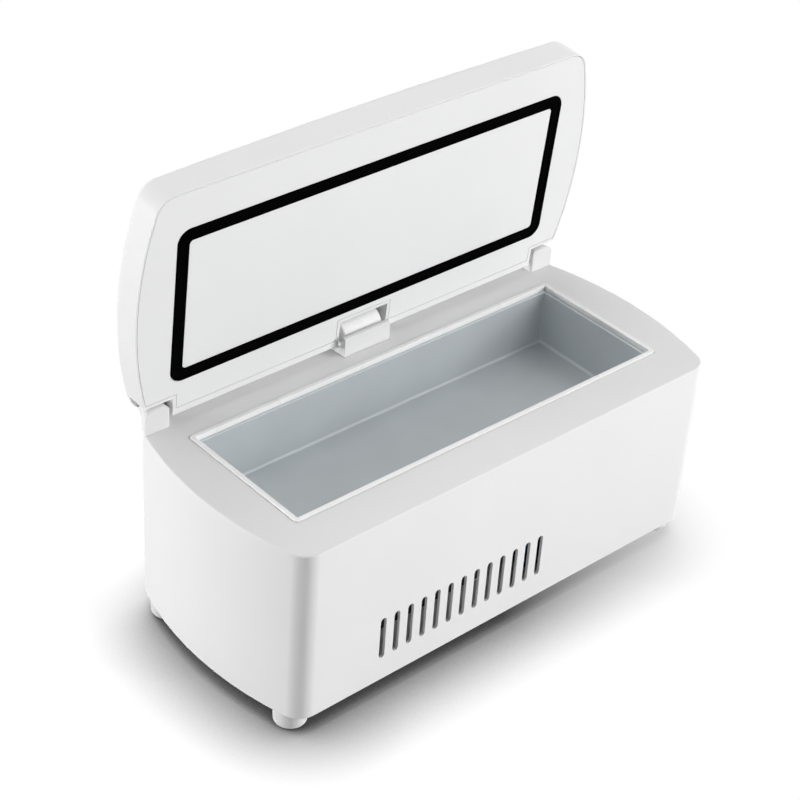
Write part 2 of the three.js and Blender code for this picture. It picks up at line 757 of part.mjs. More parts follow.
// Hub and swept, pitched blades, trimmed to the duct.
function fanRotor() {
  const top = fanTop - fanBackHeight - fitGap;
  const bottom = top - fanHubHeight;
  const tip = fanDuctRadius - fanTipGap;
  const past = tip + overrun;
  const root = fanHubRadius - bladeRootInset;
  const blade = new THREE.Shape();
  blade.moveTo(root, -bladeChord / 3);
  blade.quadraticCurveTo(tip / 2, -bladeChord / 2, past, -bladeChord / 4);
  blade.lineTo(past, bladeChord * bladeSweepShare);
  blade.quadraticCurveTo(tip / 2, bladeChord / 4, root, bladeChord / 4);
  const options = { depth: bladeThickness, bevelEnabled: false, curveSegments: 4 };
  const middle = (top + bottom) / 2;
  const leaves = Array.from({ length: bladeCount }, (_, i) => {
    const leaf = new THREE.ExtrudeGeometry(blade, options);
    leaf.translate(0, 0, -bladeThickness / 2).rotateX(bladePitch * degree);
    return solid(leaf.rotateZ((i * 4 * quarter) / bladeCount).translate(coolerX, openingY, middle));
  });
  const hub = upright(coolerX, openingY, fanHubRadius, [bottom, top], 16);
  return join([hub, ...leaves]).intersect(upright(coolerX, openingY, tip, [bottom, top], 20));
}

// Fan grille in the base plate: rings of air slots broken by two crossed spokes.
function grilleCutter() {
  const [low, high] = [footHeight - overrun, baseTop + overrun];
  const pitch = (fanDuctRadius - grilleHub) / grilleRings;
  const rings = Array.from({ length: grilleRings }, (_, i) => {
    const outer = grilleHub + (i + 1) * pitch;
    const core = upright(coolerX, openingY, outer - grilleSlot, [low - overrun, high + overrun], 16);
    return upright(coolerX, openingY, outer, [low, high], 16).subtract(core);
  });
  const spokes = [1, 3].map((turn) => {
    const spoke = new THREE.BoxGeometry(2 * fanSide, grilleSpoke, high - low + 2 * overrun);
    return solid(spoke.rotateZ((turn * quarter) / 2).translate(coolerX, openingY, (low + high) / 2));
  });
  return cut(join(rings), spokes);
}

// Two round cells side by side in one wrap, grown by a gap for the cut in the cradle.
function batteryBody(gap, reach) {
  const outline = new THREE.Shape();
  outline.absarc(batteryY + cellRadius, batteryZ, cellRadius + gap, -quarter, quarter);
  outline.absarc(batteryY - cellRadius, batteryZ, cellRadius + gap, quarter, 3 * quarter);
  return sideProfile(outline, [bayX - reach, bayX + reach], 5);
}

// Rib that cradles the battery.
function cradle(side) {
  const depth = 4 * cellRadius + 2 * wall;
  const x = bayX + side * cradleShare * bayLength;
  const rib = centredBox(x, batteryY, cradleWidth, depth, [baseTop - fitGap, baseTop + cradleHeight]);
  return rib.subtract(batteryBody(fitGap, bayLength));
}

// Floor of the housing: carries fan, battery and board, and takes the spigots of the feet.
function basePlate() {
  const below = footHeight - overrun;
  const headSeat = footHeight + screwHeadHeight + holeGap;
  const collars = fanScrewPlaces.map(([x, y]) =>
    upright(x, y, fanHoleInset - fitGap, [baseTop - fitGap, fanBottom - fitGap]));
  const posts = boardPosts.map(([x, y]) =>
    upright(x, y, boardPostRadius, [baseTop - fitGap, boardZ - fitGap], 10));
  const plate = join([
    casePrism(wall + fitGap, [footHeight, baseTop]), ...collars, ...posts, ...sides.map(cradle),
  ]);
  return cut(plate, [
    grilleCutter(),
    ...fanScrewPlaces.map(([x, y]) => upright(x, y, fanScrewRadius + holeGap, [below, fanTop], 8)),
    ...fanScrewPlaces.map(([x, y]) => upright(x, y, fanScrewHeadRadius + fitGap, [below, headSeat], 10)),
    ...footPlaces.map(([x, y]) => upright(x, y, screwRadius + holeGap, [below, baseTop + overrun], 8)),
    ...footPlaces.map(([x, y]) =>
      upright(x, y, spigotRadius + holeGap, [below, footHeight + spigotHeight], 16)),
  ]);
}

// Main board with its larger components: two cans, a choke and a chip.
function circuitBoard() {
  const depth = boardBack - boardFront;
  const root = boardTop - fitGap;
  const cans = canShares.map(([along, across]) =>
    upright(bayX + along * bayLength, boardY + across * depth, canRadius, [root, boardTop + canHeight]));
  const [chokeX, chokeY] = [bayX + chokeShares[0] * bayLength, boardY + chokeShares[1] * depth];
  const [chipX, chipY] = [bayX + chipShares[0] * bayLength, boardY + chipShares[1] * depth];
  return join([
    centredBox(bayX, boardY, bayLength, depth, [boardZ, boardTop]),
    ...cans,
    centredBox(chokeX, chokeY, chokeSide, chokeSide, [root, boardTop + chokeHeight]),
    centredBox(chipX, chipY, chipSide, chipSide, [root, boardTop + chipHeight]),
  ]);
}

// Socket for a round plug: seated on the board, its nose in the back wall, a pin in its bore.
function powerSocket() {
  const face = halfDepth - wall - fitGap;
  const housing = centredBox(
    socketX, face - socketDepth / 2, socketWidth, socketDepth, [socketBottom, socketBottom + socketHeight]);
  const nose = rodAlongY(socketNoseRadius, socketX, [face - overrun, halfDepth], socketZ);
  const inside = halfDepth - socketBoreDepth;
  const bore = rodAlongY(socketBoreRadius, socketX, [inside, halfDepth + overrun], socketZ);
  const pin = rodAlongY(socketPinRadius, socketX, [inside - overrun, halfDepth - overrun], socketZ, 8);
  return housing.add(nose).subtract(bore).add(pin);
}

// Round foot: slight taper, rounded lower edge, spigot on top and a bore for its screw.
function foot([x, y]) {
  const top = footHeight - fitGap;
  const low = footRadius - footTaper;
  const shaftHole = screwRadius + holeGap;
  const edge = [1, 2].map((i) => {
    const angle = (quarter * i) / 2;
    return [low - footRound * (1 - Math.sin(angle)), footRound * (1 - Math.cos(angle))];
  });
  return revolved([
    [footBoreRadius, 0], [low - footRound, 0], ...edge, [footRadius, top], [spigotRadius, top],
    [spigotRadius, top + spigotHeight], [shaftHole, top + spigotHeight], [shaftHole, footBoreDepth],
    [footBoreRadius, footBoreDepth], [footBoreRadius, 0],
  ], x, y, 16);
}

// Saddle in the middle of the back edge: its front wall shows, its hollow back carries the barrel.
function hingeBlock() {
  const [bottom, top] = [deckZ - blockSeatDepth, deckZ + blockHeight];
  const profile = new THREE.Shape();
  profile.moveTo(blockFrontY, bottom);
  profile.lineTo(halfDepth - fitGap, bottom);
  profile.lineTo(halfDepth - fitGap, top);
  profile.lineTo(blockFrontY + blockChamfer, top);
  profile.lineTo(blockFrontY, top - blockChamfer);
  const past = blockHalfLength + overrun;
  return cut(sideProfile(profile, [-blockHalfLength, blockHalfLength]), [
    rodAlongX(barrelRadius + fitGap, [-past, past], axisY, axisZ, 30),
    ...sides.map((i) =>
      upright(i * hingeScrewX, hingeScrewY, screwRadius + holeGap, [bottom - overrun, axisZ], 8)),
  ]);
}

// Hollow barrel round the hinge line, with softened ends.
function hingeBarrel() {
  const bore = spindleRadius + turningGap;
  const shoulder = barrelHalfLength - edgeRound;
  const profile = [
    [bore, -barrelHalfLength], [barrelRadius - edgeRound, -barrelHalfLength], [barrelRadius, -shoulder],
    [barrelRadius, shoulder], [barrelRadius - edgeRound, barrelHalfLength], [bore, barrelHalfLength],
    [bore, -barrelHalfLength],
  ].map(([radius, along]) => new THREE.Vector2(radius, along));
  const tube = new THREE.LatheGeometry(profile, 30).rotateZ(-quarter).translate(0, axisY, axisZ);
  const reach = [deckZ - overrun, axisZ - bore - holeGap];
  return cut(solid(tube), sides.map((i) =>
    upright(i * hingeScrewX, hingeScrewY, screwRadius + holeGap, reach, 8)));
}

function hingePin() {
  return rodAlongX(pinRadius, [postInner - endNotchGap - pinInLid, postInner + pinInPost], axisY, axisZ);
}

function magnet(side, z0) {
  return upright(side * magnetX, magnetY, magnetRadius, [z0, z0 + magnetHeight], 16);
}

// Room that the lid leaves for the posts and for the block and barrel, grown by extra.
function notches(extra) {
  const low = lidBase - overrun;
  const back = halfDepth + overrun;
  const end = box(
    [postInner - endNotchGap - extra, halfLength + overrun], [postFrontY - endNotchClearance - extra, back],
    [low, postTopZ + notchRoof + extra]);
  const reach = blockHalfLength + middleNotchGap + extra;
  const middle = box(
    [-reach, reach], [blockFrontY - middleNotchClearance - extra, back],
    [low, axisZ + barrelRadius + notchRoof + extra]);
  return join([end, mirrored(end), middle]);
}

// Thick places beside the notches, which hold the pins and the spindle.
function ears() {
  const heights = [lidBase - 2 * overrun, lidBase + lidEndThickness];
  const depths = [halfDepth - earDepth, halfDepth];
  const endWall = postInner - endNotchGap;
  const middleWall = blockHalfLength + middleNotchGap;
  const right = join([
    box([endWall - notchWall - earLength, endWall], depths, heights),
    box([middleWall, middleWall + notchWall + earLength], depths, heights),
  ]);
  return right.add(mirrored(right));
}

// Plan of the lid panel between two heights, drawn in by gap on all sides.
function panelBlank(gap, [z0, z1]) {
  const past = [z0 - overrun, z1 + overrun];
  const across = [-halfLength, halfLength];
  return cut(casePrism(panelEndRim + gap, [z0, z1]), [
    box(across, [-caseDepth, panelFrontRim + gap - halfDepth], past),
    box(across, [halfDepth - panelBackRim - gap, caseDepth], past),
    notches(notchWall + gap),
  ]);
}

// Outer moulding of the lid: crowned along its length, rounded outer edge, notched at the hinge.
function lidShell() {
  const steps = 4;
  const above = lidBase + 2 * lidEndThickness;
  const round = [0, 1, 2, 3].map((i) => {
    const angle = (quarter * i) / 3;
    return {
      inset: lidEdgeRound * (1 - Math.cos(angle)),
      height: crown(lidEdgeRound * (1 - Math.sin(angle))),
    };
  });
  const outside = stackedCase([{ inset: 0, height: lidBase }, ...round], steps);
  const inside = stackedCase([
    { inset: lidWall, height: lidBase - overrun },
    { inset: lidWall, height: crown(lidSkin) },
  ], steps);
  const rimDepths = [halfDepth - panelBackRim, halfDepth];
  const backRim = box([-halfLength, halfLength], rimDepths, [lidBase - 2 * overrun, above]);
  const room = cut(inside, [backRim, notches(notchWall), ears()]);
  const pinHole = rodAlongX(
    pinRadius + turningGap, [postInner - endNotchGap - pinInLid - fitGap, postInner], axisY, axisZ);
  const spindleReach = spindleHalf + fitGap;
  const recess = windowOutline(panelJoint);
  const skinUnder = windowTop - lidSkin - overrun;
  return cut(outside, [
    room,
    notches(0),
    panelBlank(0, [lidBase - overrun, panelTop + panelJoint]),
    pinHole,
    mirrored(pinHole),
    rodAlongX(spindleRadius + holeGap, [-spindleReach, spindleReach], axisY, axisZ),
    prism(recess, [windowSeat - panelJoint, above], 5),
    centredBox(windowX, windowY, viewLength, viewDepth, [skinUnder, above]),
    ...buttonPlaces.map((y) => upright(buttonX, y, buttonRadius + fitGap, [skinUnder, above], 16)),
  ]);
}

// Sealing ring, or the channel that it sits in when grown by gap.
function gasketRing(gap, [z0, z1]) {
  const [outerX, outerY] = [trimLength / 2 + gasketMargin + gap, trimDepth / 2 + gasketMargin + gap];
  const narrow = gasketWidth + 2 * gap;
  const outer = openingPrism(outerX, outerY, gasketOuterRadius + gap, [z0, z1], 7);
  const past = [z0 - overrun, z1 + overrun];
  return outer.subtract(openingPrism(outerX - narrow, outerY - narrow, gasketInnerRadius, past));
}

// Inner plate of the lid, with a channel for the gasket.
function lidPanel() {
  const channel = gasketRing(panelJoint, [lidBase - overrun, lidBase + gasketSeat + panelJoint]);
  return panelBlank(panelJoint, [lidBase, panelTop]).subtract(channel);
}

// Insulation between panel and skin, relieved for the electronics and the magnets.
function lidFoam() {
  const z0 = panelTop + fitGap;
  const above = lidBase + 2 * lidEndThickness;
  const inset = lidWall + pocketGap;
  const block = stackedCase([{ inset, height: z0 }, { inset, height: crown(lidSkin + pocketGap) }], 4);
  const across = [lidBoardLeft - pocketGap, lidBoardRight + pocketGap];
  const pocketReach = Math.max(windowDepth / 2, buttonPitch / 2 + flangeRadius) + pocketGap;
  const magnetHeights = [z0 - overrun, z0 + magnetHeight + pocketGap];
  return cut(block, [
    box([-halfLength, halfLength], [lidFoamBackY, halfDepth], [z0 - overrun, above]),
    box(across, [windowY - pocketReach, windowY + pocketReach], [lidBoardZ - fitGap, above]),
    ...sides.map((i) => upright(i * magnetX, magnetY, magnetRadius + pocketGap, magnetHeights)),
  ]);
}

function windowOutline(gap) {
  const [length, depth] = [windowLength + 2 * gap, windowDepth + 2 * gap];
  return roundedRectangle(windowX, windowY, length, depth, windowRadius + gap);
}

function displayWindow() {
  return prism(windowOutline(0), [windowSeat, windowTop], 5);
}

// Display behind the window, with the connector that stands on the board.
function displayModule() {
  const top = windowSeat - panelJoint - fitGap;
  const [length, depth] = [viewLength - 2 * fitGap, viewDepth - 2 * fitGap];
  const glass = centredBox(windowX, windowY, length, depth, [top - displayHeight, top]);
  const stand = [lidBoardTop + fitGap, top - displayHeight / 2];
  return glass.add(centredBox(windowX, windowY, length, depth / 4, stand));
}

// Board under the display, with a switch below each button.
function lidBoard() {
  const depths = [windowY - windowDepth / 2, windowY + windowDepth / 2];
  const board = box([lidBoardLeft, lidBoardRight], depths, [lidBoardZ, lidBoardTop]);
  return join([
    board,
    ...buttonPlaces.map((y) => upright(buttonX, y, switchRadius, [lidBoardTop - fitGap, switchTop])),
  ]);
}

// Push button: a cap through the skin, held from below by its flange.
function pushButton(y) {
  const top = crown(0)(buttonX) + buttonProud;
  const edge = [0, 1, 2].map((i) => {
    const angle = (quarter * i) / 2;
    return [buttonRadius - buttonRound * (1 - Math.cos(angle)), top - buttonRound * (1 - Math.sin(angle))];
  });
  return revolved([
    [0, flangeBottom], [flangeRadius, flangeBottom], [flangeRadius, flangeTop], [buttonRadius, flangeTop],
    ...edge, [0, top],
  ], buttonX, y, 16);
}

function addPiece(group, name, finish, body) {
  const mesh = new THREE.Mesh(geometryOf(body), new THREE.MeshStandardMaterial(finish));
  mesh.name = name;
  group.add(mesh);
}

function addCopies(group, name, finish, bodies) {
  bodies.forEach((body, i) => addPiece(group, `${name}_${i + 1}`, finish, body));
}

function addBody(group) {
  const { shell, trim, barrel, aluminium, steel, foam, blackPlastic, ceramic, board, wrap } = finishes;
  addPiece(group, "body_shell", shell, bodyShell());
  addPiece(group, "base_plate", shell, basePlate());
  addPiece(group, "opening_trim", trim, openingTrim());
  addPiece(group, "cold_tray", aluminium, coldTray());
  addPiece(group, "foam_jacket", foam, foamJacket());
  addPiece(group, "temperature_sensor", steel, temperatureSensor());
  addPiece(group, "cold_block", aluminium, coldBlock());
  addPiece(group, "thermoelectric_module", ceramic, thermoelectricModule());
  addPiece(group, "heat_sink", aluminium, heatSink());
  const clampHead = sinkUnder - fitGap - screwHeadHeight;
  const clampTop = blockBottom + clampReach;
  addCopies(group, "clamp_screw", steel, clampPlaces.map((place) => screw(place, clampHead, clampTop)));
  addPiece(group, "fan_frame", blackPlastic, fanFrame());
  addPiece(group, "fan_rotor", blackPlastic, fanRotor());
  addCopies(group, "fan_screw", steel, fanScrewPlaces.map((place) =>
    screw(place, footHeight, fanTop - fitGap, fanScrewHeadRadius, fanScrewRadius)));
  addPiece(group, "battery_pack", wrap, batteryBody(0, bayLength / 2));
  addPiece(group, "circuit_board", board, circuitBoard());
  addPiece(group, "power_socket", blackPlastic, powerSocket());
  const footHead = footBoreDepth - screwHeadHeight - fitGap;
  footPlaces.forEach((place) => {
    const name = `foot_${place[1] < 0 ? "front" : "back"}_${place[0] < 0 ? "left" : "right"}`;
    addPiece(group, name, shell, foot(place));
  });
  const baseScrewTop = baseTop + screwReach;
  addCopies(group, "base_screw", steel, footPlaces.map((place) => screw(place, footHead, baseScrewTop)));
  addPiece(group, "hinge_block", shell, hingeBlock());
  addPiece(group, "hinge_barrel", barrel, hingeBarrel());
  const hingeHead = deckUnder - holeGap - screwHeadHeight;
  const hingeScrewTop = axisZ - spindleRadius - turningGap - 2 * holeGap;
  addCopies(group, "hinge_screw", steel, sides.map((i) =>
    screw([i * hingeScrewX, hingeScrewY], hingeHead, hingeScrewTop)));
  sides.forEach((side) => {
    const end = side < 0 ? "left" : "right";
    addPiece(group, `body_magnet_${end}`, steel, magnet(side, foamTop - magnetHeight));
    addPiece(group, `hinge_pin_${end}`, steel, onSide(side, hingePin()));
  });
}

// Lid, drawn closed.
function addLid(group) {
  const { shell, steel, rubber, foam, blackPlastic, board, smoked, button } = finishes;
  addPiece(group, "lid_shell", shell, lidShell());
  addPiece(group, "lid_panel", shell, lidPanel());
  addPiece(group, "gasket", rubber, gasketRing(0, [lidBase - gasketProud, lidBase + gasketSeat]));
  addPiece(group, "lid_foam", foam, lidFoam());
  const spindle = rodAlongX(spindleRadius, [-spindleHalf, spindleHalf], axisY, axisZ);
  addPiece(group, "hinge_spindle", steel, spindle);
  addPiece(group, "lid_magnet_left", steel, magnet(-1, panelTop + fitGap));
  addPiece(group, "lid_magnet_right", steel, magnet(1, panelTop + fitGap));
  addPiece(group, "display_window", smoked, displayWindow());
  addPiece(group, "display_module", blackPlastic, displayModule());
  addPiece(group, "lid_board", board, lidBoard());
  addPiece(group, "power_button", button, pushButton(buttonPlaces[0]));
  addPiece(group, "set_button", button, pushButton(buttonPlaces[1]));
}

const product = new THREE.Group();
addBody(product);

// The lid swings open about the hinge line.
const lid = new THREE.Group();
lid.position.set(0, -axisY, -axisZ);
addLid(lid);
const lidPivot = new THREE.Group();
lidPivot.position.set(0, axisY, axisZ);
lidPivot.rotation.x = -openAngle * degree;
lidPivot.add(lid);
product.add(lidPivot);

// The origin is under the middle of the standing object.
product.updateMatrixWorld(true);
const bounds = new THREE.Box3().setFromObject(product, true);
product.position.y = -(bounds.min.y + bounds.max.y) / 2;
const model = new THREE.Group();
model.add(product);

export default model;
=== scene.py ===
import json
import math

import bmesh
import bpy
import numpy as np
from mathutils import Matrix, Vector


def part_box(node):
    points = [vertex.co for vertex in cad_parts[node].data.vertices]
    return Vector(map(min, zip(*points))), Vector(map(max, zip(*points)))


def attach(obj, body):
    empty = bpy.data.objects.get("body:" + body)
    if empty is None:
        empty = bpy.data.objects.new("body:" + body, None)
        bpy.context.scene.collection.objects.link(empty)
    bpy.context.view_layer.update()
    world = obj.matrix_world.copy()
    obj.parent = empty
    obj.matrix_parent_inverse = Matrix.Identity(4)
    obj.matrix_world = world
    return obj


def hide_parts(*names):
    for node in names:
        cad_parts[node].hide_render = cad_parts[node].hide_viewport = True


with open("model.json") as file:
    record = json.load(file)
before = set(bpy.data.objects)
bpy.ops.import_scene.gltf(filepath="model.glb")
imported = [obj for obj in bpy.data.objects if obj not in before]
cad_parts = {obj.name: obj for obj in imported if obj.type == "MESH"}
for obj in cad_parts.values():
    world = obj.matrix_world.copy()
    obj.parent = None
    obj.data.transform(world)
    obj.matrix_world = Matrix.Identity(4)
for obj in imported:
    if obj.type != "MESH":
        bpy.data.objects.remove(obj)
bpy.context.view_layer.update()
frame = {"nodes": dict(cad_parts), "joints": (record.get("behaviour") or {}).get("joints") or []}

# Insulin cooling case with its lid open. Metres, same frame as the CAD; sizes below are in mm.
mm = 0.001
joints = {joint["name"]: joint for joint in frame["joints"]}
hingePoint = np.array(joints["lid_hinge"]["pos_m"])
openTurn = math.radians(joints["lid_hinge"]["range_deg"][1])
print("frame:", len(frame["nodes"]), "nodes")


# Turn about the hinge line, which runs along X: y' = y cos a - z sin a, z' = y sin a + z cos a.
def turned(points, angle):
    y, z = (points[..., i] - hingePoint[i] for i in (1, 2))
    across = hingePoint[1] + y * math.cos(angle) - z * math.sin(angle)
    up = hingePoint[2] + y * math.sin(angle) + z * math.cos(angle)
    return np.stack([points[..., 0], across, up], -1)


# Lowest and highest corner of a CAD node, in mm. A lid part is first swung shut, where its faces lie
# square to the axes.
def span(node, shut=False):
    mesh = frame["nodes"][node].data
    points = np.empty(3 * len(mesh.vertices), np.float32)
    mesh.vertices.foreach_get("co", points)
    points = points.reshape(-1, 3).astype(float)
    if shut:
        points = turned(points, openTurn)
    return points.min(0) / mm, points.max(0) / mm


def unit(vectors):
    return vectors / np.linalg.norm(vectors, axis=-1, keepdims=True)


# Profile with its corners rounded. A corner is (across, up, radius). With a and b the directions
# to its neighbours and h half the angle between them, the arc's centre is
# corner + unit(a + b) radius / sin h, and the arc turns by pi - 2h between its two tangent points.
def softened(corners, closed=True, steps=5):
    corners = np.array(corners, float)
    spot, radius = corners[:, :2], corners[:, 2:]
    before = unit(np.roll(spot, 1, 0) - spot)
    after = unit(np.roll(spot, -1, 0) - spot)
    half = np.arccos(np.clip((before * after).sum(1, keepdims=True), -1, 1)) / 2
    centre = spot + unit(before + after) * radius / np.sin(half)
    start = spot + before * radius / np.tan(half) - centre
    end = spot + after * radius / np.tan(half) - centre
    sweep = (math.pi - 2 * half)[:, None]
    share = np.linspace(0, 1, steps + 1)[None, :, None]
    blend = start[:, None] * np.sin((1 - share) * sweep) + end[:, None] * np.sin(share * sweep)
    arcs = centre[:, None] + blend / np.sin(sweep)
    if closed:
        return arcs.reshape(-1, 2)
    return np.concatenate([spot[:1], arcs[1:-1].reshape(-1, 2), spot[-1:]])


# Rounded rectangles, one per profile point (outset, height), at corner turn t:
# x = sx (a - r) + r cos t, y = sy (b - r) + r sin t, with sx and sy the corner's signs, the half sizes a
# and b grown by the outset, and the corner radius r read between the given (outsets, radii).
def roundedRings(profile, centre, halfSize, radii, cornerSteps=10):
    outset, height = profile[:, :1], profile[:, 1:]
    turns = np.linspace(0, math.pi / 2, cornerSteps + 1) + np.arange(4)[:, None] * math.pi / 2
    turns = turns.ravel()[None]
    signX = np.repeat([1, -1, -1, 1], cornerSteps + 1)[None]
    signY = np.repeat([1, 1, -1, -1], cornerSteps + 1)[None]
    corner = np.interp(outset, *radii)
    x = centre[0] + signX * (halfSize[0] + outset - corner) + corner * np.cos(turns)
    y = centre[1] + signY * (halfSize[1] + outset - corner) + corner * np.sin(turns)
    return np.stack([x, y, np.broadcast_to(height, x.shape)], -1)


# Profile of (radius, along) carried round an upright line, or one along X for alongX:
# the two other coordinates are the line's own plus radius cos t and radius sin t.
def revolvedRings(profile, centre, sides=48, alongX=False):
    turns = np.linspace(0, 2 * math.pi, sides, endpoint=False)[None]
    radius, along = profile[:, :1], np.broadcast_to(profile[:, 1:], (len(profile), sides))
    one, other = radius * np.cos(turns), radius * np.sin(turns)
    if alongX:
        return np.stack([along, centre[1] + one, centre[2] + other], -1)
    return np.stack([centre[0] + one, centre[1] + other, along], -1)


# Quads over a grid of rings. The rings close on themselves; the first and last ring are joined,
# or closed by a flat end each. The faces are turned round if the volume they enclose is negative.
def ringSurface(name, rings, joined=True, smoothAngle=40):
    rows, sides = rings.shape[:2]
    index = np.arange(rows * sides).reshape(rows, sides)
    low = index if joined else index[:-1]
    high = np.roll(index, -1, 0) if joined else index[1:]
    quads = np.stack([low, np.roll(low, -1, 1), np.roll(high, -1, 1), high], -1).reshape(-1, 4)
    points = rings.reshape(-1, 3)
    a, b, c, d = (points[quads[:, i]] - points.mean(0) for i in range(4))
    volume = (a * np.cross(b, c)).sum() + (a * np.cross(c, d)).sum()
    faces = quads.tolist()
    if not joined:
        faces += [index[0][::-1].tolist(), index[-1].tolist()]
    if volume < 0:
        faces = [face[::-1] for face in faces]
    mesh = bpy.data.meshes.new(name)
    mesh.from_pydata(points.tolist(), [], faces)
    return smoothPiece(name, mesh, smoothAngle)


def smoothPiece(name, mesh, smoothAngle):
    mesh.shade_smooth()
    mesh.set_sharp_from_angle(angle=math.radians(smoothAngle))
    piece = bpy.data.objects.new(name, mesh)
    bpy.context.scene.collection.objects.link(piece)
    return piece


# Merging distance in mm, angle in degrees under which faces count as one, and steps of a rounded edge.
cleaning = {"merge": 0.002, "flatAngle": 0.4, "edgeSteps": 2}


# Merged copy of a CAD node with its edges rounded and its curved walls shaded smooth.
def mouldedCopy(node, name, edge, smoothAngle=50):
    shape = bmesh.new()
    shape.from_mesh(frame["nodes"][node].data)
    bmesh.ops.remove_doubles(shape, verts=shape.verts, dist=cleaning["merge"] * mm)
    flat = math.radians(cleaning["flatAngle"])
    bmesh.ops.dissolve_limit(shape, angle_limit=flat, verts=shape.verts, edges=shape.edges)
    mesh = bpy.data.meshes.new(name)
    shape.to_mesh(mesh)
    shape.free()
    if "custom_normal" in mesh.attributes:
        mesh.attributes.remove(mesh.attributes["custom_normal"])
    piece = smoothPiece(name, mesh, smoothAngle)
    if edge:
        bevel = piece.modifiers.new("edge", "BEVEL")
        bevel.width = edge * mm
        bevel.segments = cleaning["edgeSteps"]
        bevel.limit_method = "ANGLE"
        bevel.angle_limit = math.radians(smoothAngle)
        bevel.miter_outer = "MITER_ARC"
    weighted = piece.modifiers.new("flat faces", "WEIGHTED_NORMAL")
    weighted.keep_sharp = True
    return piece


def linear(colour):
    parts = [int(colour[i:i + 2], 16) / 255 for i in (1, 3, 5)]
    return [p / 12.92 if p <= 0.04045 else ((p + 0.055) / 1.055) ** 2.4 for p in parts] + [1]


def addNode(tree, kind, inputs=None, **settings):
    node = tree.nodes.new(kind)
    for name, value in settings.items():
        setattr(node, name, value)
    for name, value in (inputs or {}).items():
        if isinstance(value, bpy.types.NodeSocket):
            tree.links.new(value, node.inputs[name])
        else:
            node.inputs[name].default_value = value
    return node


# Cloudy pattern with features of the given size in mm, longer along an axis by its stretch.
def cloud(tree, size, stretch=(1, 1, 1), detail=2):
    coords = addNode(tree, "ShaderNodeTexCoord")
    scale = [1 / (size * mm * s) for s in stretch]
    mapped = addNode(tree, "ShaderNodeMapping", {"Vector": coords.outputs["Object"], "Scale": scale})
    noise = addNode(tree, "ShaderNodeTexNoise", {
        "Vector": mapped.outputs[0], "Scale": 1, "Detail": detail,
    })
    return noise.outputs[0]


# Cloudy patterns keep mostly within these values, which are spread over the given range.
cloudRange = (0.3, 0.7)


def between(tree, value, low, high):
    return addNode(tree, "ShaderNodeMapRange", {
        "Value": value, "From Min": cloudRange[0], "From Max": cloudRange[1], "To Min": low, "To Max": high,
    }).outputs[0]


def mixedColour(tree, share, one, other):
    one, other = (linear(c) if isinstance(c, str) else c for c in (one, other))
    mix = addNode(tree, "ShaderNodeMix", data_type="RGBA")
    for index, value in ((0, share), (6, one), (7, other)):
        if isinstance(value, bpy.types.NodeSocket):
            tree.links.new(value, mix.inputs[index])
        else:
            mix.inputs[index].default_value = value
    return mix.outputs[2]


# 1 above a height, in metres, and 0 under it, with a soft step of the given half width in mm.
def above(tree, height, softness=0.05):
    coords = addNode(tree, "ShaderNodeTexCoord")
    split = addNode(tree, "ShaderNodeSeparateXYZ", {0: coords.outputs["Object"]})
    return addNode(tree, "ShaderNodeMapRange", {
        "Value": split.outputs["Z"], "From Min": height - softness * mm, "From Max": height + softness * mm,
    }).outputs[0]


def bumped(tree, height, depth):
    relief = {"Height": height, "Distance": depth * mm, "Strength": 1.0}
    return addNode(tree, "ShaderNodeBump", relief).outputs[0]


def newMaterial(name, **inputs):
    material = bpy.data.materials.new(name)
    material.use_nodes = True
    tree = material.node_tree
    shader = tree.nodes["Principled BSDF"]
    for key, value in inputs.items():
        shader.inputs[key.replace("_", " ")].default_value = value
    return material, tree, shader


def connect(tree, shader, **sockets):
    for key, socket in sockets.items():
        tree.links.new(socket, shader.inputs[key.replace("_", " ")])


# Moulded plastic: faint cloudiness in the colour and the shine, and a tool-mark grain. The real grain is
# under 0.1 mm and would not show, so it is drawn coarser.
def mouldedPlastic(name, look):
    material, tree, shader = newMaterial(
        name, Coat_Weight=look.get("coat", 0.0), Coat_Roughness=look.get("coatRoughness", 0.2),
        Specular_IOR_Level=look.get("specular", 0.5),
    )
    wide = cloud(tree, look["cloud"])
    grain = cloud(tree, look["grain"], detail=1)
    connect(
        tree, shader,
        Base_Color=mixedColour(tree, between(tree, wide, 0, 1), look["colour"], look["shade"]),
        Roughness=between(tree, wide, *look["roughness"]),
        Normal=bumped(tree, grain, look["depth"]),
    )
    return material


# Metal with fine drawn lines along one axis, which break the shine into streaks. The lines are drawn
# several times wider than the real ones, which would not show.
def drawnMetal(name, look):
    material, tree, shader = newMaterial(name, Metallic=look["metallic"])
    lines = cloud(tree, look["line"], look["stretch"], detail=3)
    wide = cloud(tree, look["cloud"])
    connect(
        tree, shader,
        Base_Color=mixedColour(tree, between(tree, wide, 0, 1), look["colour"], look["shade"]),
        Roughness=between(tree, lines, *look["roughness"]),
        Normal=bumped(tree, lines, look["depth"]),
    )
    return material


# Satin white ABS of the housing: clean and even, with only a soft sheen on the rounded corners.
shellWhite = mouldedPlastic("white_abs_satin", {
    "colour": "#EEEEEE", "shade": "#EBEBEB", "cloud": 60, "roughness": (0.5, 0.56), "specular": 0.25,
    "grain": 0.5, "depth": 0.003,
})
# The same ABS a shade greyer, on the deck, the posts, the saddle and the feet: painted shade, a darker copy
# of the housing white that stands in for the shade on these parts.
deckShadeWhite = mouldedPlastic("white_abs_deck_painted_shade", {
    "colour": "#E7E7E7", "shade": "#E4E4E4", "cloud": 60, "roughness": (0.52, 0.58), "specular": 0.25,
    "grain": 0.5, "depth": 0.003,
})
# Brighter white ABS of the trim: reads as a crisp light frame round the tray.
trimWhite = mouldedPlastic("white_abs_trim", {
    "colour": "#F7F7F7", "shade": "#F4F4F4", "cloud": 40, "roughness": (0.25, 0.3),
    "grain": 0.5, "depth": 0.002, "coat": 0.1, "coatRoughness": 0.15,
})
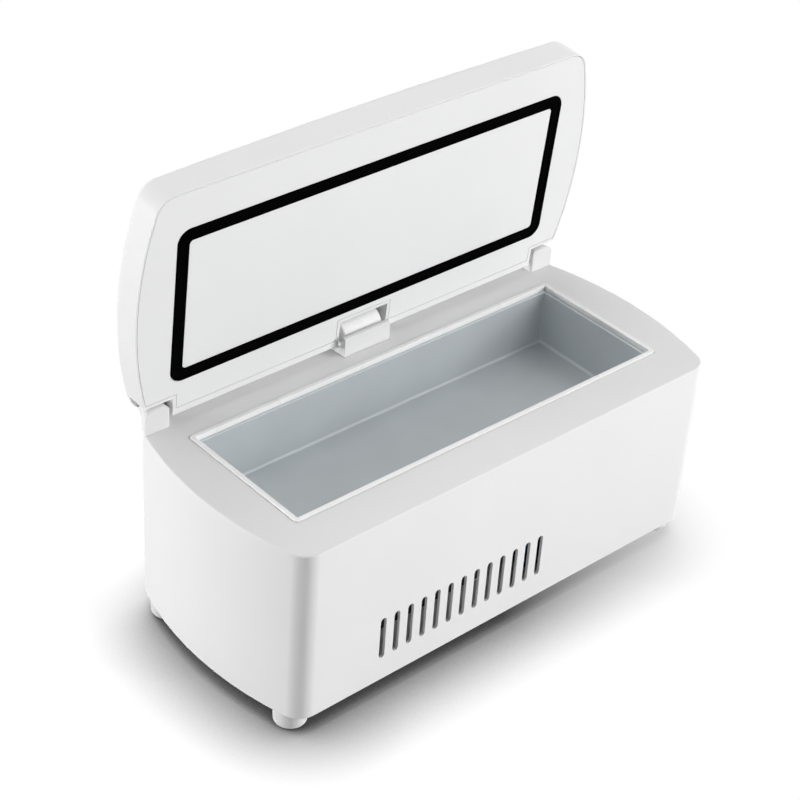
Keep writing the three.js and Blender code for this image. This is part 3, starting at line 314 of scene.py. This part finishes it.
# Polished white acetal of the hinge barrel: a soft bright band along its middle.
barrelWhite = mouldedPlastic("white_acetal_polished", {
    "colour": "#F4F4F4", "shade": "#F1F1F1", "cloud": 8, "roughness": (0.24, 0.3),
    "grain": 0.3, "depth": 0.001, "coat": 0.2, "coatRoughness": 0.16,
})
# Light grey ABS of the buttons: a shade darker than the lid, so that they can be found.
buttonGrey = mouldedPlastic("grey_abs_satin", {
    "colour": "#D9DCDF", "shade": "#D3D6DA", "cloud": 5, "roughness": (0.3, 0.36),
    "grain": 0.3, "depth": 0.002,
})
# Matt black glass-filled nylon of the fan, the socket and the display frame: dry and slightly uneven.
nylonBlack = mouldedPlastic("black_nylon_matt", {
    "colour": "#1A1B1D", "shade": "#222325", "cloud": 6, "roughness": (0.5, 0.62),
    "grain": 0.4, "depth": 0.01,
})
# Near black on the inside faces of the housing: painted shade, which shows black through the vent slots.
insideShadeBlack = mouldedPlastic("black_inside_painted_shade", {
    "colour": "#0A0A0A", "shade": "#0E0E0E", "cloud": 10, "roughness": (0.7, 0.85),
    "grain": 0.5, "depth": 0.01,
})
# Smoked acrylic of the display window: near black, with a clear reflection.
smokedAcrylic = mouldedPlastic("smoked_acrylic_gloss", {
    "colour": "#0D1014", "shade": "#11151A", "cloud": 20, "roughness": (0.05, 0.08),
    "grain": 4, "depth": 0.002, "coat": 0.6, "coatRoughness": 0.03,
})
# Blue PVC shrink wrap of the cells: glossy, with slight ripples from shrinking. Its blue is drawn a dark
# navy, painted shade for its place inside the case.
wrapBlue = mouldedPlastic("blue_pvc_wrap", {
    "colour": "#1D4568", "shade": "#193D5D", "cloud": 12, "roughness": (0.22, 0.34),
    "grain": 3.0, "depth": 0.06, "coat": 0.3, "coatRoughness": 0.15,
})
# Satin anodised aluminium of the tray, the cold block and the heat sink: cool grey with faint lines, on
# an oxide skin that scatters more light than it mirrors.
anodised = drawnMetal("aluminium_anodised_satin", {
    "colour": "#D2D7D9", "shade": "#CCD1D4", "cloud": 25, "metallic": 0.38, "roughness": (0.36, 0.46),
    "line": 0.25, "stretch": (60, 1, 1), "depth": 0.003,
})
# Zinc-plated steel of screws, pins and magnets: grey, with turned marks.
steel = drawnMetal("steel_zinc_plated", {
    "colour": "#A6A9AD", "shade": "#989CA1", "cloud": 2, "metallic": 1.0, "roughness": (0.22, 0.36),
    "line": 0.12, "stretch": (12, 12, 1), "depth": 0.004,
})


# Smooth black silicone of the gasket: takes nearly all light, with a faint bloom and a coarse-drawn grain.
def siliconeBlack(look):
    material, tree, shader = newMaterial("silicone_black_matt", Specular_IOR_Level=look["specular"])
    bloom = cloud(tree, look["bloom"])
    connect(
        tree, shader,
        Base_Color=mixedColour(tree, between(tree, bloom, 0, 1), look["colour"], look["shade"]),
        Roughness=between(tree, bloom, *look["roughness"]),
        Normal=bumped(tree, cloud(tree, look["grain"]), look["depth"]),
    )
    return material


gasketBlack = siliconeBlack({
    "colour": "#020202", "shade": "#040404", "bloom": 7, "roughness": (0.6, 0.75), "specular": 0.01,
    "grain": 0.4, "depth": 0.004,
})


# Closed-cell polyurethane foam: warm off-white with a skin of small cells.
def cellFoam(look):
    material, tree, shader = newMaterial("polyurethane_foam", Specular_IOR_Level=look["specular"])
    coords = addNode(tree, "ShaderNodeTexCoord")
    cells = {"Vector": coords.outputs["Object"], "Scale": 1 / (look["cell"] * mm)}
    cell = addNode(tree, "ShaderNodeTexVoronoi", cells).outputs["Distance"]
    wide = cloud(tree, look["cloud"])
    connect(
        tree, shader,
        Base_Color=mixedColour(tree, between(tree, wide, 0, 1), look["colour"], look["shade"]),
        Roughness=between(tree, wide, *look["roughness"]),
        Normal=bumped(tree, cell, look["depth"]),
    )
    return material


foamSkin = cellFoam({
    "colour": "#E6E3DA", "shade": "#DDD9CD", "cell": 0.7, "cloud": 9, "roughness": (0.8, 0.95),
    "depth": 0.15, "specular": 0.2,
})


# Two materials in one solid, told apart by height: what lies above a level shows as the second.
def layered(name, look, levels):
    material, tree, shader = newMaterial(name)
    wide = cloud(tree, look["cloud"])
    lower = mixedColour(tree, between(tree, wide, 0, 1), look["colour"], look["shade"])
    share = above(tree, levels[0])
    if len(levels) > 1:
        past = above(tree, levels[1])
        share = addNode(tree, "ShaderNodeMath", {0: share, 1: past}, operation="SUBTRACT").outputs[0]
    connect(
        tree, shader,
        Base_Color=mixedColour(tree, share, lower, look["second"]),
        Roughness=between(tree, wide, *look["roughness"]),
        Normal=bumped(tree, cloud(tree, look["grain"], look["stretch"]), look["depth"]),
    )
    return material


# Of a ceramic plate, and of the bare circuit board.
thickness = {"plate": 0.85, "board": 1.7}
moduleLow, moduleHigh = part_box("thermoelectric_module")
# Alumina plates with grey pellets between them: chalky white, dark in the slit.
aluminaPlates = layered("alumina_plates_and_pellets", {
    "colour": "#E9E6DC", "shade": "#E1DDD1", "second": "#5A5C60", "cloud": 5, "roughness": (0.6, 0.75),
    "grain": 0.3, "stretch": (1, 1, 1), "depth": 0.01,
}, [moduleLow.z + thickness["plate"] * mm, moduleHigh.z - thickness["plate"] * mm])
# Green solder mask with traces under it: glossy ridges, and dark parts standing on it.
solderMask = layered("solder_mask_green", {
    "colour": "#1F5A3A", "shade": "#2A6B47", "second": "#2B2C30", "cloud": 1.5, "roughness": (0.28, 0.4),
    "grain": 0.8, "stretch": (12, 1, 1), "depth": 0.03,
}, [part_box("circuit_board")[0].z + thickness["board"] * mm])
print("materials:", len(bpy.data.materials))


def place(piece, material, body, nodes):
    piece.data.materials.clear()
    piece.data.materials.append(material)
    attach(piece, body)
    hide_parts(*nodes)
    return piece


# Edge radii in mm that many profiles share.
crisp, eased = 0.1, 0.2

# Trim round the opening: a flat flange with eased edges on a skirt. Its corner radii are those of the
# inner and the outer edge.
trim = {"flange": 1.9, "skirt": 1.0, "flangeHeight": 1.3, "corners": (0.35, 1.4), "ease": 0.3}
low, high = span("opening_trim")
trimHalf = (high - low) / 2 - trim["flange"]
flangeFoot = high[2] - trim["flangeHeight"]
profile = softened([
    (0, low[2], eased), (trim["skirt"], low[2], eased), (trim["skirt"], flangeFoot, crisp),
    (trim["flange"], flangeFoot, crisp), (trim["flange"], high[2], trim["ease"]), (0, high[2], trim["ease"]),
])
rings = roundedRings(profile, (low + high) / 2, trimHalf, ((0, trim["flange"]), trim["corners"]))
place(ringSurface("tray_trim", rings * mm), trimWhite, "case_body", ["opening_trim"])

# Tray: upright walls with a lip that stands inside the trim, a flat rim outside them, and a floor that
# meets them in a fillet. One closed skin of sheet metal. Corner radii from the floor out to the rim.
tray = {
    "rim": 3.8, "wall": 1.0, "lip": 1.22, "rimDrop": 1.9, "floor": 1.5, "fillet": 1.2, "ease": 0.3,
    "underEase": 0.9, "margin": 0.3, "corners": (0.1, 0.35, 0.55, 4.4),
}
low, high = span("cold_tray")
trayHalf = (high - low) / 2 - tray["rim"]
rimTop, floor = high[2] - tray["rimDrop"], low[2] + tray["floor"]
inward = -tray["fillet"] - tray["margin"]
profile = softened([
    (inward, low[2], 0), (tray["wall"], low[2], tray["underEase"]),
    (tray["wall"], rimTop - tray["wall"], tray["ease"]), (tray["rim"], rimTop - tray["wall"], eased),
    (tray["rim"], rimTop, tray["ease"]), (tray["lip"], rimTop, eased), (tray["lip"], high[2], tray["ease"]),
    (0, high[2], tray["ease"]), (0, floor, tray["fillet"]), (inward, floor, 0),
], closed=False, steps=6)
outsets = (inward, 0, tray["lip"], tray["rim"])
rings = roundedRings(profile, (low + high) / 2, trayHalf, (outsets, tray["corners"]))
piece = ringSurface("cold_tray_liner", rings * mm, joined=False)
place(piece, anodised, "case_body", ["cold_tray"])

# Gasket: flat band with a raised, rounded lip along its inner and outer edge.
seal = {
    "width": 4.6, "corners": (1.6, 5.1), "lip": 1.2, "slope": 0.4, "dip": 0.15, "ease": 0.35,
    "dipEase": 0.3,
}
low, high = span("gasket", shut=True)
sealHalf = (high - low) / 2 - seal["width"]
dip, outerLip = low[2] + seal["dip"], seal["width"] - seal["lip"]
profile = softened([
    (0, low[2], seal["ease"]), (0, high[2], eased), (seal["width"], high[2], eased),
    (seal["width"], low[2], seal["ease"]), (outerLip, low[2], eased),
    (outerLip - seal["slope"], dip, seal["dipEase"]), (seal["lip"] + seal["slope"], dip, seal["dipEase"]),
    (seal["lip"], low[2], eased),
])
rings = roundedRings(profile, (low + high) / 2, sealHalf, ((0, seal["width"]), seal["corners"]))
piece = ringSurface("lid_gasket", turned(rings * mm, -openTurn))
place(piece, gasketBlack, "lid", ["gasket"])
print("opening:", "trim, tray and gasket")

# Barrel of the hinge: a hollow tube along X with softened ends.
barrel = {"bore": 1.55, "ease": 0.9, "sides": 64}
low, high = span("hinge_barrel")
radius = (high[2] - low[2]) / 2
profile = softened([
    (barrel["bore"], low[0], eased), (radius, low[0], barrel["ease"]),
    (radius, high[0], barrel["ease"]), (barrel["bore"], high[0], eased),
])
rings = revolvedRings(profile, hingePoint / mm, sides=barrel["sides"], alongX=True)
place(ringSurface("hinge_tube", rings * mm), barrelWhite, "case_body", ["hinge_barrel"])

# Feet: slightly tapered pads with a rounded lower edge, a spigot and a screw bore.
foot = {
    "taper": 0.3, "round": 1.0, "spigot": 2.9, "spigotHeight": 1.6,
    "bore": 2.6, "boreDepth": 4.6, "hole": 1.35,
}
for side in ("front_left", "front_right", "back_left", "back_right"):
    low, high = span("foot_" + side)
    radius, shoulder = (high[0] - low[0]) / 2, high[2] - foot["spigotHeight"]
    boreTop = low[2] + foot["boreDepth"]
    profile = softened([
        (foot["bore"], low[2], eased), (radius - foot["taper"], low[2], foot["round"]),
        (radius, shoulder, eased), (foot["spigot"], shoulder, crisp), (foot["spigot"], high[2], eased),
        (foot["hole"], high[2], crisp), (foot["hole"], boreTop, crisp), (foot["bore"], boreTop, crisp),
    ])
    piece = ringSurface("pad_" + side, revolvedRings(profile, (low + high) / 2) * mm)
    # The pads take the greyer white, which is painted shade.
    place(piece, deckShadeWhite, "case_body", ["foot_" + side])

# Screws, heads down: a domed head with a round recess, and a shaft whose radius rises and falls
# as a thread does, r = shaft - depth |2 frac(along / pitch) - 1|. Each kind has its count and shaft radius.
screw = {
    "headHeight": 1.5, "dome": 0.45, "recess": 0.45, "recessShare": 0.45, "recessFloorShare": 0.6,
    "recessEase": 0.15, "pitch": 0.5, "pitchSteps": 4, "depth": 0.14, "runout": 0.3,
    "tip": ((0.2, 0.15), (0.5, 0.0)), "sides": 24,
}
screwKinds = {
    "clamp_screw": (2, 1.2), "fan_screw": (4, 1.4), "base_screw": (4, 1.2), "hinge_screw": (2, 1.2),
}
for kind, (count, shaft) in screwKinds.items():
    for number in range(1, count + 1):
        node = f"{kind}_{number}"
        low, high = span(node)
        head, neck = (high[0] - low[0]) / 2, low[2] + screw["headHeight"]
        recess, recessFloor = head * screw["recessShare"], low[2] + screw["recess"]
        first, last = neck + screw["runout"], high[2] - screw["runout"]
        along = np.arange(first, last, screw["pitch"] / screw["pitchSteps"])
        ridge = np.abs(2 * np.mod(along / screw["pitch"], 1) - 1)
        thread = np.stack([shaft - screw["depth"] * ridge, along], -1)
        under = softened([
            (recess * screw["recessFloorShare"], recessFloor, 0), (recess, recessFloor, crisp),
            (recess, low[2], screw["recessEase"]), (head, low[2], screw["dome"]), (head, neck, crisp),
            (shaft - screw["depth"], neck, 0),
        ], closed=False, steps=4)
        tip = [(shaft - less, high[2] - back) for less, back in screw["tip"]]
        profile = np.concatenate([under, thread, tip])
        rings = revolvedRings(profile, (low + high) / 2, sides=screw["sides"])
        place(ringSurface(node + "_turned", rings * mm, joined=False), steel, "case_body", [node])


# Plain turned part of steel between two ends, with a rounded edge at each.
def turnedPart(node, name, ease, body, alongX=False, shut=False):
    low, high = span(node, shut)
    axis = 0 if alongX else 2
    radius = (high[1] - low[1]) / 2
    inner = radius - ease - crisp
    profile = softened([
        (inner, low[axis], 0), (radius, low[axis], ease), (radius, high[axis], ease), (inner, high[axis], 0),
    ], closed=False)
    rings = revolvedRings(profile, (low + high) / 2, alongX=alongX) * mm
    if shut:
        rings = turned(rings, -openTurn)
    place(ringSurface(name, rings, joined=False), steel, body, [node])


turnedEase = {"pivot": 0.3, "magnet": 0.25, "probe": 1.2}
for side in ("left", "right"):
    turnedPart("hinge_pin_" + side, "pivot_" + side, turnedEase["pivot"], "case_body", alongX=True)
    turnedPart("body_magnet_" + side, "lower_magnet_" + side, turnedEase["magnet"], "case_body")
    turnedPart("lid_magnet_" + side, "upper_magnet_" + side, turnedEase["magnet"], "lid", shut=True)
turnedPart("hinge_spindle", "middle_pivot", turnedEase["pivot"], "lid", alongX=True)
turnedPart("temperature_sensor", "probe", turnedEase["probe"], "case_body", alongX=True)

# Buttons: a cap with a shallow dish on a flange, dish = depth (1 - (r / R)^2) at radius r.
cap = {
    "flange": 1.1, "flangeHeight": 1.0, "flangeEase": 0.15, "ease": 0.5, "under": 0.6,
    "dish": 0.25, "dishShare": 0.8, "dishMiddle": 0.3, "dishSteps": 8,
}
for kind in ("power", "set"):
    low, high = span(kind + "_button", shut=True)
    flange, flangeTop = (high[0] - low[0]) / 2, low[2] + cap["flangeHeight"]
    radius = flange - cap["flange"]
    dish = radius * cap["dishShare"]
    side = softened([
        (cap["under"], low[2], 0), (flange, low[2], cap["flangeEase"]),
        (flange, flangeTop, cap["flangeEase"]), (radius, flangeTop, crisp),
        (radius, high[2], cap["ease"]), (dish, high[2], 0),
    ], closed=False, steps=6)
    across = np.linspace(dish, cap["dishMiddle"], cap["dishSteps"])[1:]
    bowl = np.stack([across, high[2] - cap["dish"] * (1 - (across / dish) ** 2)], -1)
    rings = turned(revolvedRings(np.concatenate([side, bowl]), (low + high) / 2) * mm, -openTurn)
    piece = ringSurface(kind + "_cap", rings, joined=False)
    place(piece, buttonGrey, kind + "_button_body", [kind + "_button"])
print("turned pieces:", "barrel, feet, screws, pins, magnets, buttons")

# The rest keeps its CAD form, with rounded edges: node, new name, material, slot, body, edge in mm.
moulded = [
    ("body_shell", "housing", shellWhite, "white_shell", "case_body", 0.35),
    # The saddle takes the greyer white, which is painted shade.
    ("hinge_block", "saddle", deckShadeWhite, "white_shell", "case_body", 0.45),
    ("base_plate", "floor_plate", shellWhite, "white_shell", "case_body", 0.2),
    ("lid_shell", "lid_cover", shellWhite, "white_shell", "lid", 0.3),
    ("lid_panel", "lid_inner_plate", shellWhite, "white_shell", "lid", 0.3),
    ("display_window", "display_pane", smokedAcrylic, "window", "lid", 0.12),
    ("display_module", "display_unit", nylonBlack, "black_plastic", "lid", 0.2),
    ("lid_board", "lid_circuit", solderMask, "board", "lid", 0),
    ("fan_frame", "fan_housing", nylonBlack, "black_plastic", "case_body", 0.25),
    ("fan_rotor", "fan_wheel", nylonBlack, "black_plastic", "fan_rotor_body", 0.15),
    ("power_socket", "dc_socket", nylonBlack, "black_plastic", "case_body", 0.2),
    ("cold_block", "cold_spreader", anodised, "cooling_metal", "case_body", 0.3),
    ("heat_sink", "finned_sink", anodised, "cooling_metal", "case_body", 0.15),
    ("thermoelectric_module", "peltier_plates", aluminaPlates, "ceramic", "case_body", 0.1),
    ("circuit_board", "main_circuit", solderMask, "board", "case_body", 0.1),
    ("battery_pack", "cell_pair", wrapBlue, "battery_wrap", "case_body", 0.3),
]
for node, name, material, slot, body, edge in moulded:
    place(mouldedCopy(node, name, edge), material, body, [node])


# The housing takes two more materials, both painted shade. Faces below the deck that look back at its middle
# are its inside, and take a near black for the shade in the case; the deck and the posts, but not their
# outer sides, take the greyer white.
# Sizes in mm; outward is the least part of a normal along X that makes a face an outer side.
def finishHousing(piece, insideShade, deck, size):
    mesh = piece.data
    centres, normals = np.empty((2, len(mesh.polygons) * 3))
    mesh.polygons.foreach_get("center", centres)
    mesh.polygons.foreach_get("normal", normals)
    centres, normals = centres.reshape(-1, 3), normals.reshape(-1, 3)
    low = span("body_shell")[0]
    middle = np.array([0, low[1] + size["depth"] / 2, (low[2] + size["deckUnder"]) / 2]) * mm
    away = centres - middle
    within = np.abs(away[:, 1]) < (size["depth"] / 2 - size["wall"] + size["slack"]) * mm
    below = centres[:, 2] < (size["deckUnder"] + size["slack"]) * mm
    inside = within & below & ((away * normals).sum(1) < 0)
    outward = np.sign(centres[:, 0]) * normals[:, 0] > size["outward"]
    upper = (centres[:, 2] > size["deckEdge"] * mm) & ~outward
    for material in (insideShade, deck):
        mesh.materials.append(material)
    mesh.polygons.foreach_set("material_index", np.where(upper, 2, inside).astype(np.int32))


finishHousing(bpy.data.objects["housing"], insideShadeBlack, deckShadeWhite, {
    "depth": 92.5, "wall": 1.2, "deckUnder": 76.6, "deckEdge": 78.6, "slack": 0.05, "outward": 0.7,
})

# The saddle's front plate thins towards its top, which opens a dark slit in front of the barrel:
# y falls by slit s^2 (3 - 2s), where s rises from 0 at the foot of the slit to 1 at the top. The back of
# the plate moves, from the plate's thickness to the reach behind the front.
def openSlit(piece, size):
    mesh = piece.data
    points = np.empty(3 * len(mesh.vertices))
    mesh.vertices.foreach_get("co", points)
    points = points.reshape(-1, 3)
    top, front = points[:, 2].max(), points[:, 1].min()
    rise = np.clip((points[:, 2] - top) / (size["depth"] * mm) + 1, 0, 1)
    back = points[:, 1] > front + size["plate"] * mm
    near = points[:, 1] < front + size["reach"] * mm
    points[:, 1] -= size["slit"] * mm * rise ** 2 * (3 - 2 * rise) * (back & near)
    mesh.vertices.foreach_set("co", points.ravel())


openSlit(bpy.data.objects["saddle"], {"depth": 4.0, "plate": 1.9, "reach": 5.0, "slit": 0.9})

# Foam fillings: the cast block keeps its pockets, and its edges are soft.
fillings = [("foam_jacket", "body_insulation", "case_body", 0.6), ("lid_foam", "lid_insulation", "lid", 0.6)]
for node, name, body, edge in fillings:
    piece = mouldedCopy(node, name, edge)
    place(piece, foamSkin, body, [node])
print("moulded pieces:", len(moulded), "and two foam fillings")


# Wide pale floor. The camera sees it glowing white, with a painted shadow that darkens it where the case
# keeps light off: its glow follows the openness above each point, looked at with a lean to the back, where
# the light comes from. To the right only a share of the painted shadow is kept. Other rays find a matt pale
# floor.
def floorMaterial(look):
    material, tree, shader = newMaterial("floor_white_painted_shadow", Roughness=look["roughness"])
    rays = addNode(tree, "ShaderNodeLightPath")
    wide = cloud(tree, look["cloud"])
    connect(tree, shader, Base_Color=mixedColour(tree, wide, look["colour"], look["shade"]))
    lean = addNode(tree, "ShaderNodeCombineXYZ", dict(zip("XYZ", look["lean"])))
    openness = addNode(tree, "ShaderNodeAmbientOcclusion", {
        "Distance": look["reach"] * mm, "Normal": lean.outputs[0],
    }, samples=look["samples"])
    paintedShadowTone = addNode(tree, "ShaderNodeMapRange", {
        "Value": openness.outputs["AO"], "From Min": look["closed"], "From Max": look["open"],
        "To Min": look["darkest"], "To Max": look["brightest"],
    })
    coords = addNode(tree, "ShaderNodeTexCoord")
    split = addNode(tree, "ShaderNodeSeparateXYZ", {0: coords.outputs["Object"]})
    kept = addNode(tree, "ShaderNodeMapRange", {
        "Value": split.outputs["X"], "From Min": look["fadeFrom"] * mm, "From Max": look["fadeTo"] * mm,
        "To Min": 1.0, "To Max": look["keptShare"],
    })
    faded = addNode(tree, "ShaderNodeMix", {"Factor": kept.outputs[0], "A": 1.0, "B": paintedShadowTone.outputs[0]})
    paintedShadowGlow = addNode(tree, "ShaderNodeEmission", {
        "Color": linear("#FFFFFF"), "Strength": faded.outputs[0],
    })
    mix = addNode(tree, "ShaderNodeMixShader", {
        0: rays.outputs["Is Camera Ray"], 1: shader.outputs[0], 2: paintedShadowGlow.outputs[0],
    })
    tree.links.new(mix.outputs[0], tree.nodes["Material Output"].inputs["Surface"])
    return material


room = {"floorHalf": 6.0, "cells": 4}
steps = np.linspace(-room["floorHalf"], room["floorHalf"], room["cells"] + 1)
grid = np.stack(np.meshgrid(steps, steps), -1).reshape(-1, 2)
index = np.arange(len(grid)).reshape(room["cells"] + 1, room["cells"] + 1)
faces = np.stack([index[:-1, :-1], index[:-1, 1:], index[1:, 1:], index[1:, :-1]], -1).reshape(-1, 4)
mesh = bpy.data.meshes.new("floor")
mesh.from_pydata(np.pad(grid, ((0, 0), (0, 1))).tolist(), [], faces.tolist())
mesh.materials.append(floorMaterial({
    "colour": "#C6C6C6", "shade": "#C3C3C3", "cloud": 300, "roughness": 0.9, "lean": (0.18, 0.3, 0.94),
    "reach": 33, "closed": 0.3, "open": 0.94, "darkest": 0.05, "brightest": 1.02,
    "fadeFrom": 5, "fadeTo": 105, "keptShare": 0.35, "samples": 16,
}))
ground = bpy.data.objects.new("floor", mesh)
bpy.context.scene.collection.objects.link(ground)

# Even white surround: full white to the camera, bright in reflections, dim as a light.
surround = {"camera": 1.0, "glossy": 0.85, "light": 0.1}
world = bpy.data.worlds.new("surround")
bpy.context.scene.world = world
world.use_nodes = True
tree = world.node_tree
rays = addNode(tree, "ShaderNodeLightPath")
glossy = addNode(tree, "ShaderNodeMapRange", {
    "Value": rays.outputs["Is Glossy Ray"], "To Min": surround["light"], "To Max": surround["glossy"],
})
seen = addNode(tree, "ShaderNodeMath", {
    0: rays.outputs["Is Camera Ray"], 1: rays.outputs["Is Transmission Ray"],
}, operation="MAXIMUM")
strength = addNode(tree, "ShaderNodeMapRange", {
    "Value": seen.outputs[0], "To Min": glossy.outputs[0], "To Max": surround["camera"],
})
background = tree.nodes["Background"]
background.inputs["Color"].default_value = linear("#FFFFFF")
tree.links.new(strength.outputs[0], background.inputs["Strength"])

# Soft boxes, aimed at the middle of the case: name, direction and height in degrees, distance and size in
# metres, watts, and whether reflections show it. Light comes from both sides and none along the near
# corner, which leaves a soft dark band on it. The right boxes would glare on the closed lid, so nothing
# mirrors them.
boxes = [
    ("left", 150, 4, 2.2, 0.4, 32.0, True),
    ("right low", 313, 10, 2.2, 0.9, 22.5, False),
    ("right high", 306, 30, 2.2, 1.5, 28.5, False),
    ("overhead", 100, 66, 1.8, 1.4, 10.0, True),
    ("back left", 145, 50, 1.8, 1.0, 3.2, True),
    ("back right", 60, 50, 1.8, 1.0, 4.9, True),
]
target = np.array([0, 0, 80]) * mm
for name, direction, height, distance, size, watts, mirrored in boxes:
    around, up = math.radians(direction), math.radians(height)
    aim = np.array([math.cos(around) * math.cos(up), math.sin(around) * math.cos(up), math.sin(up)])
    spot = target + distance * aim
    light = bpy.data.lights.new(name, "AREA")
    light.shape, light.size, light.energy = "SQUARE", size, watts
    lamp = bpy.data.objects.new(name, light)
    lamp.location = spot
    lamp.visible_glossy = mirrored
    lamp.rotation_euler = (math.pi / 2 - up, 0, around + math.pi / 2)
    bpy.context.scene.collection.objects.link(lamp)

# Camera of the photograph, solved from the straight edges of the case.
view = {
    "place": (-0.43823, -0.45141, 0.51167), "turn": (55.04653, -3.35432, -41.01992),
    "lens": 95.62, "sensor": 36,
}
lens = bpy.data.cameras.new("photo")
lens.sensor_width, lens.lens = view["sensor"], view["lens"]
camera = bpy.data.objects.new("photo", lens)
camera.location = view["place"]
camera.rotation_euler = [math.radians(angle) for angle in view["turn"]]
bpy.context.scene.collection.objects.link(camera)
bpy.context.scene.camera = camera
bpy.context.scene.view_settings.view_transform = "Standard"
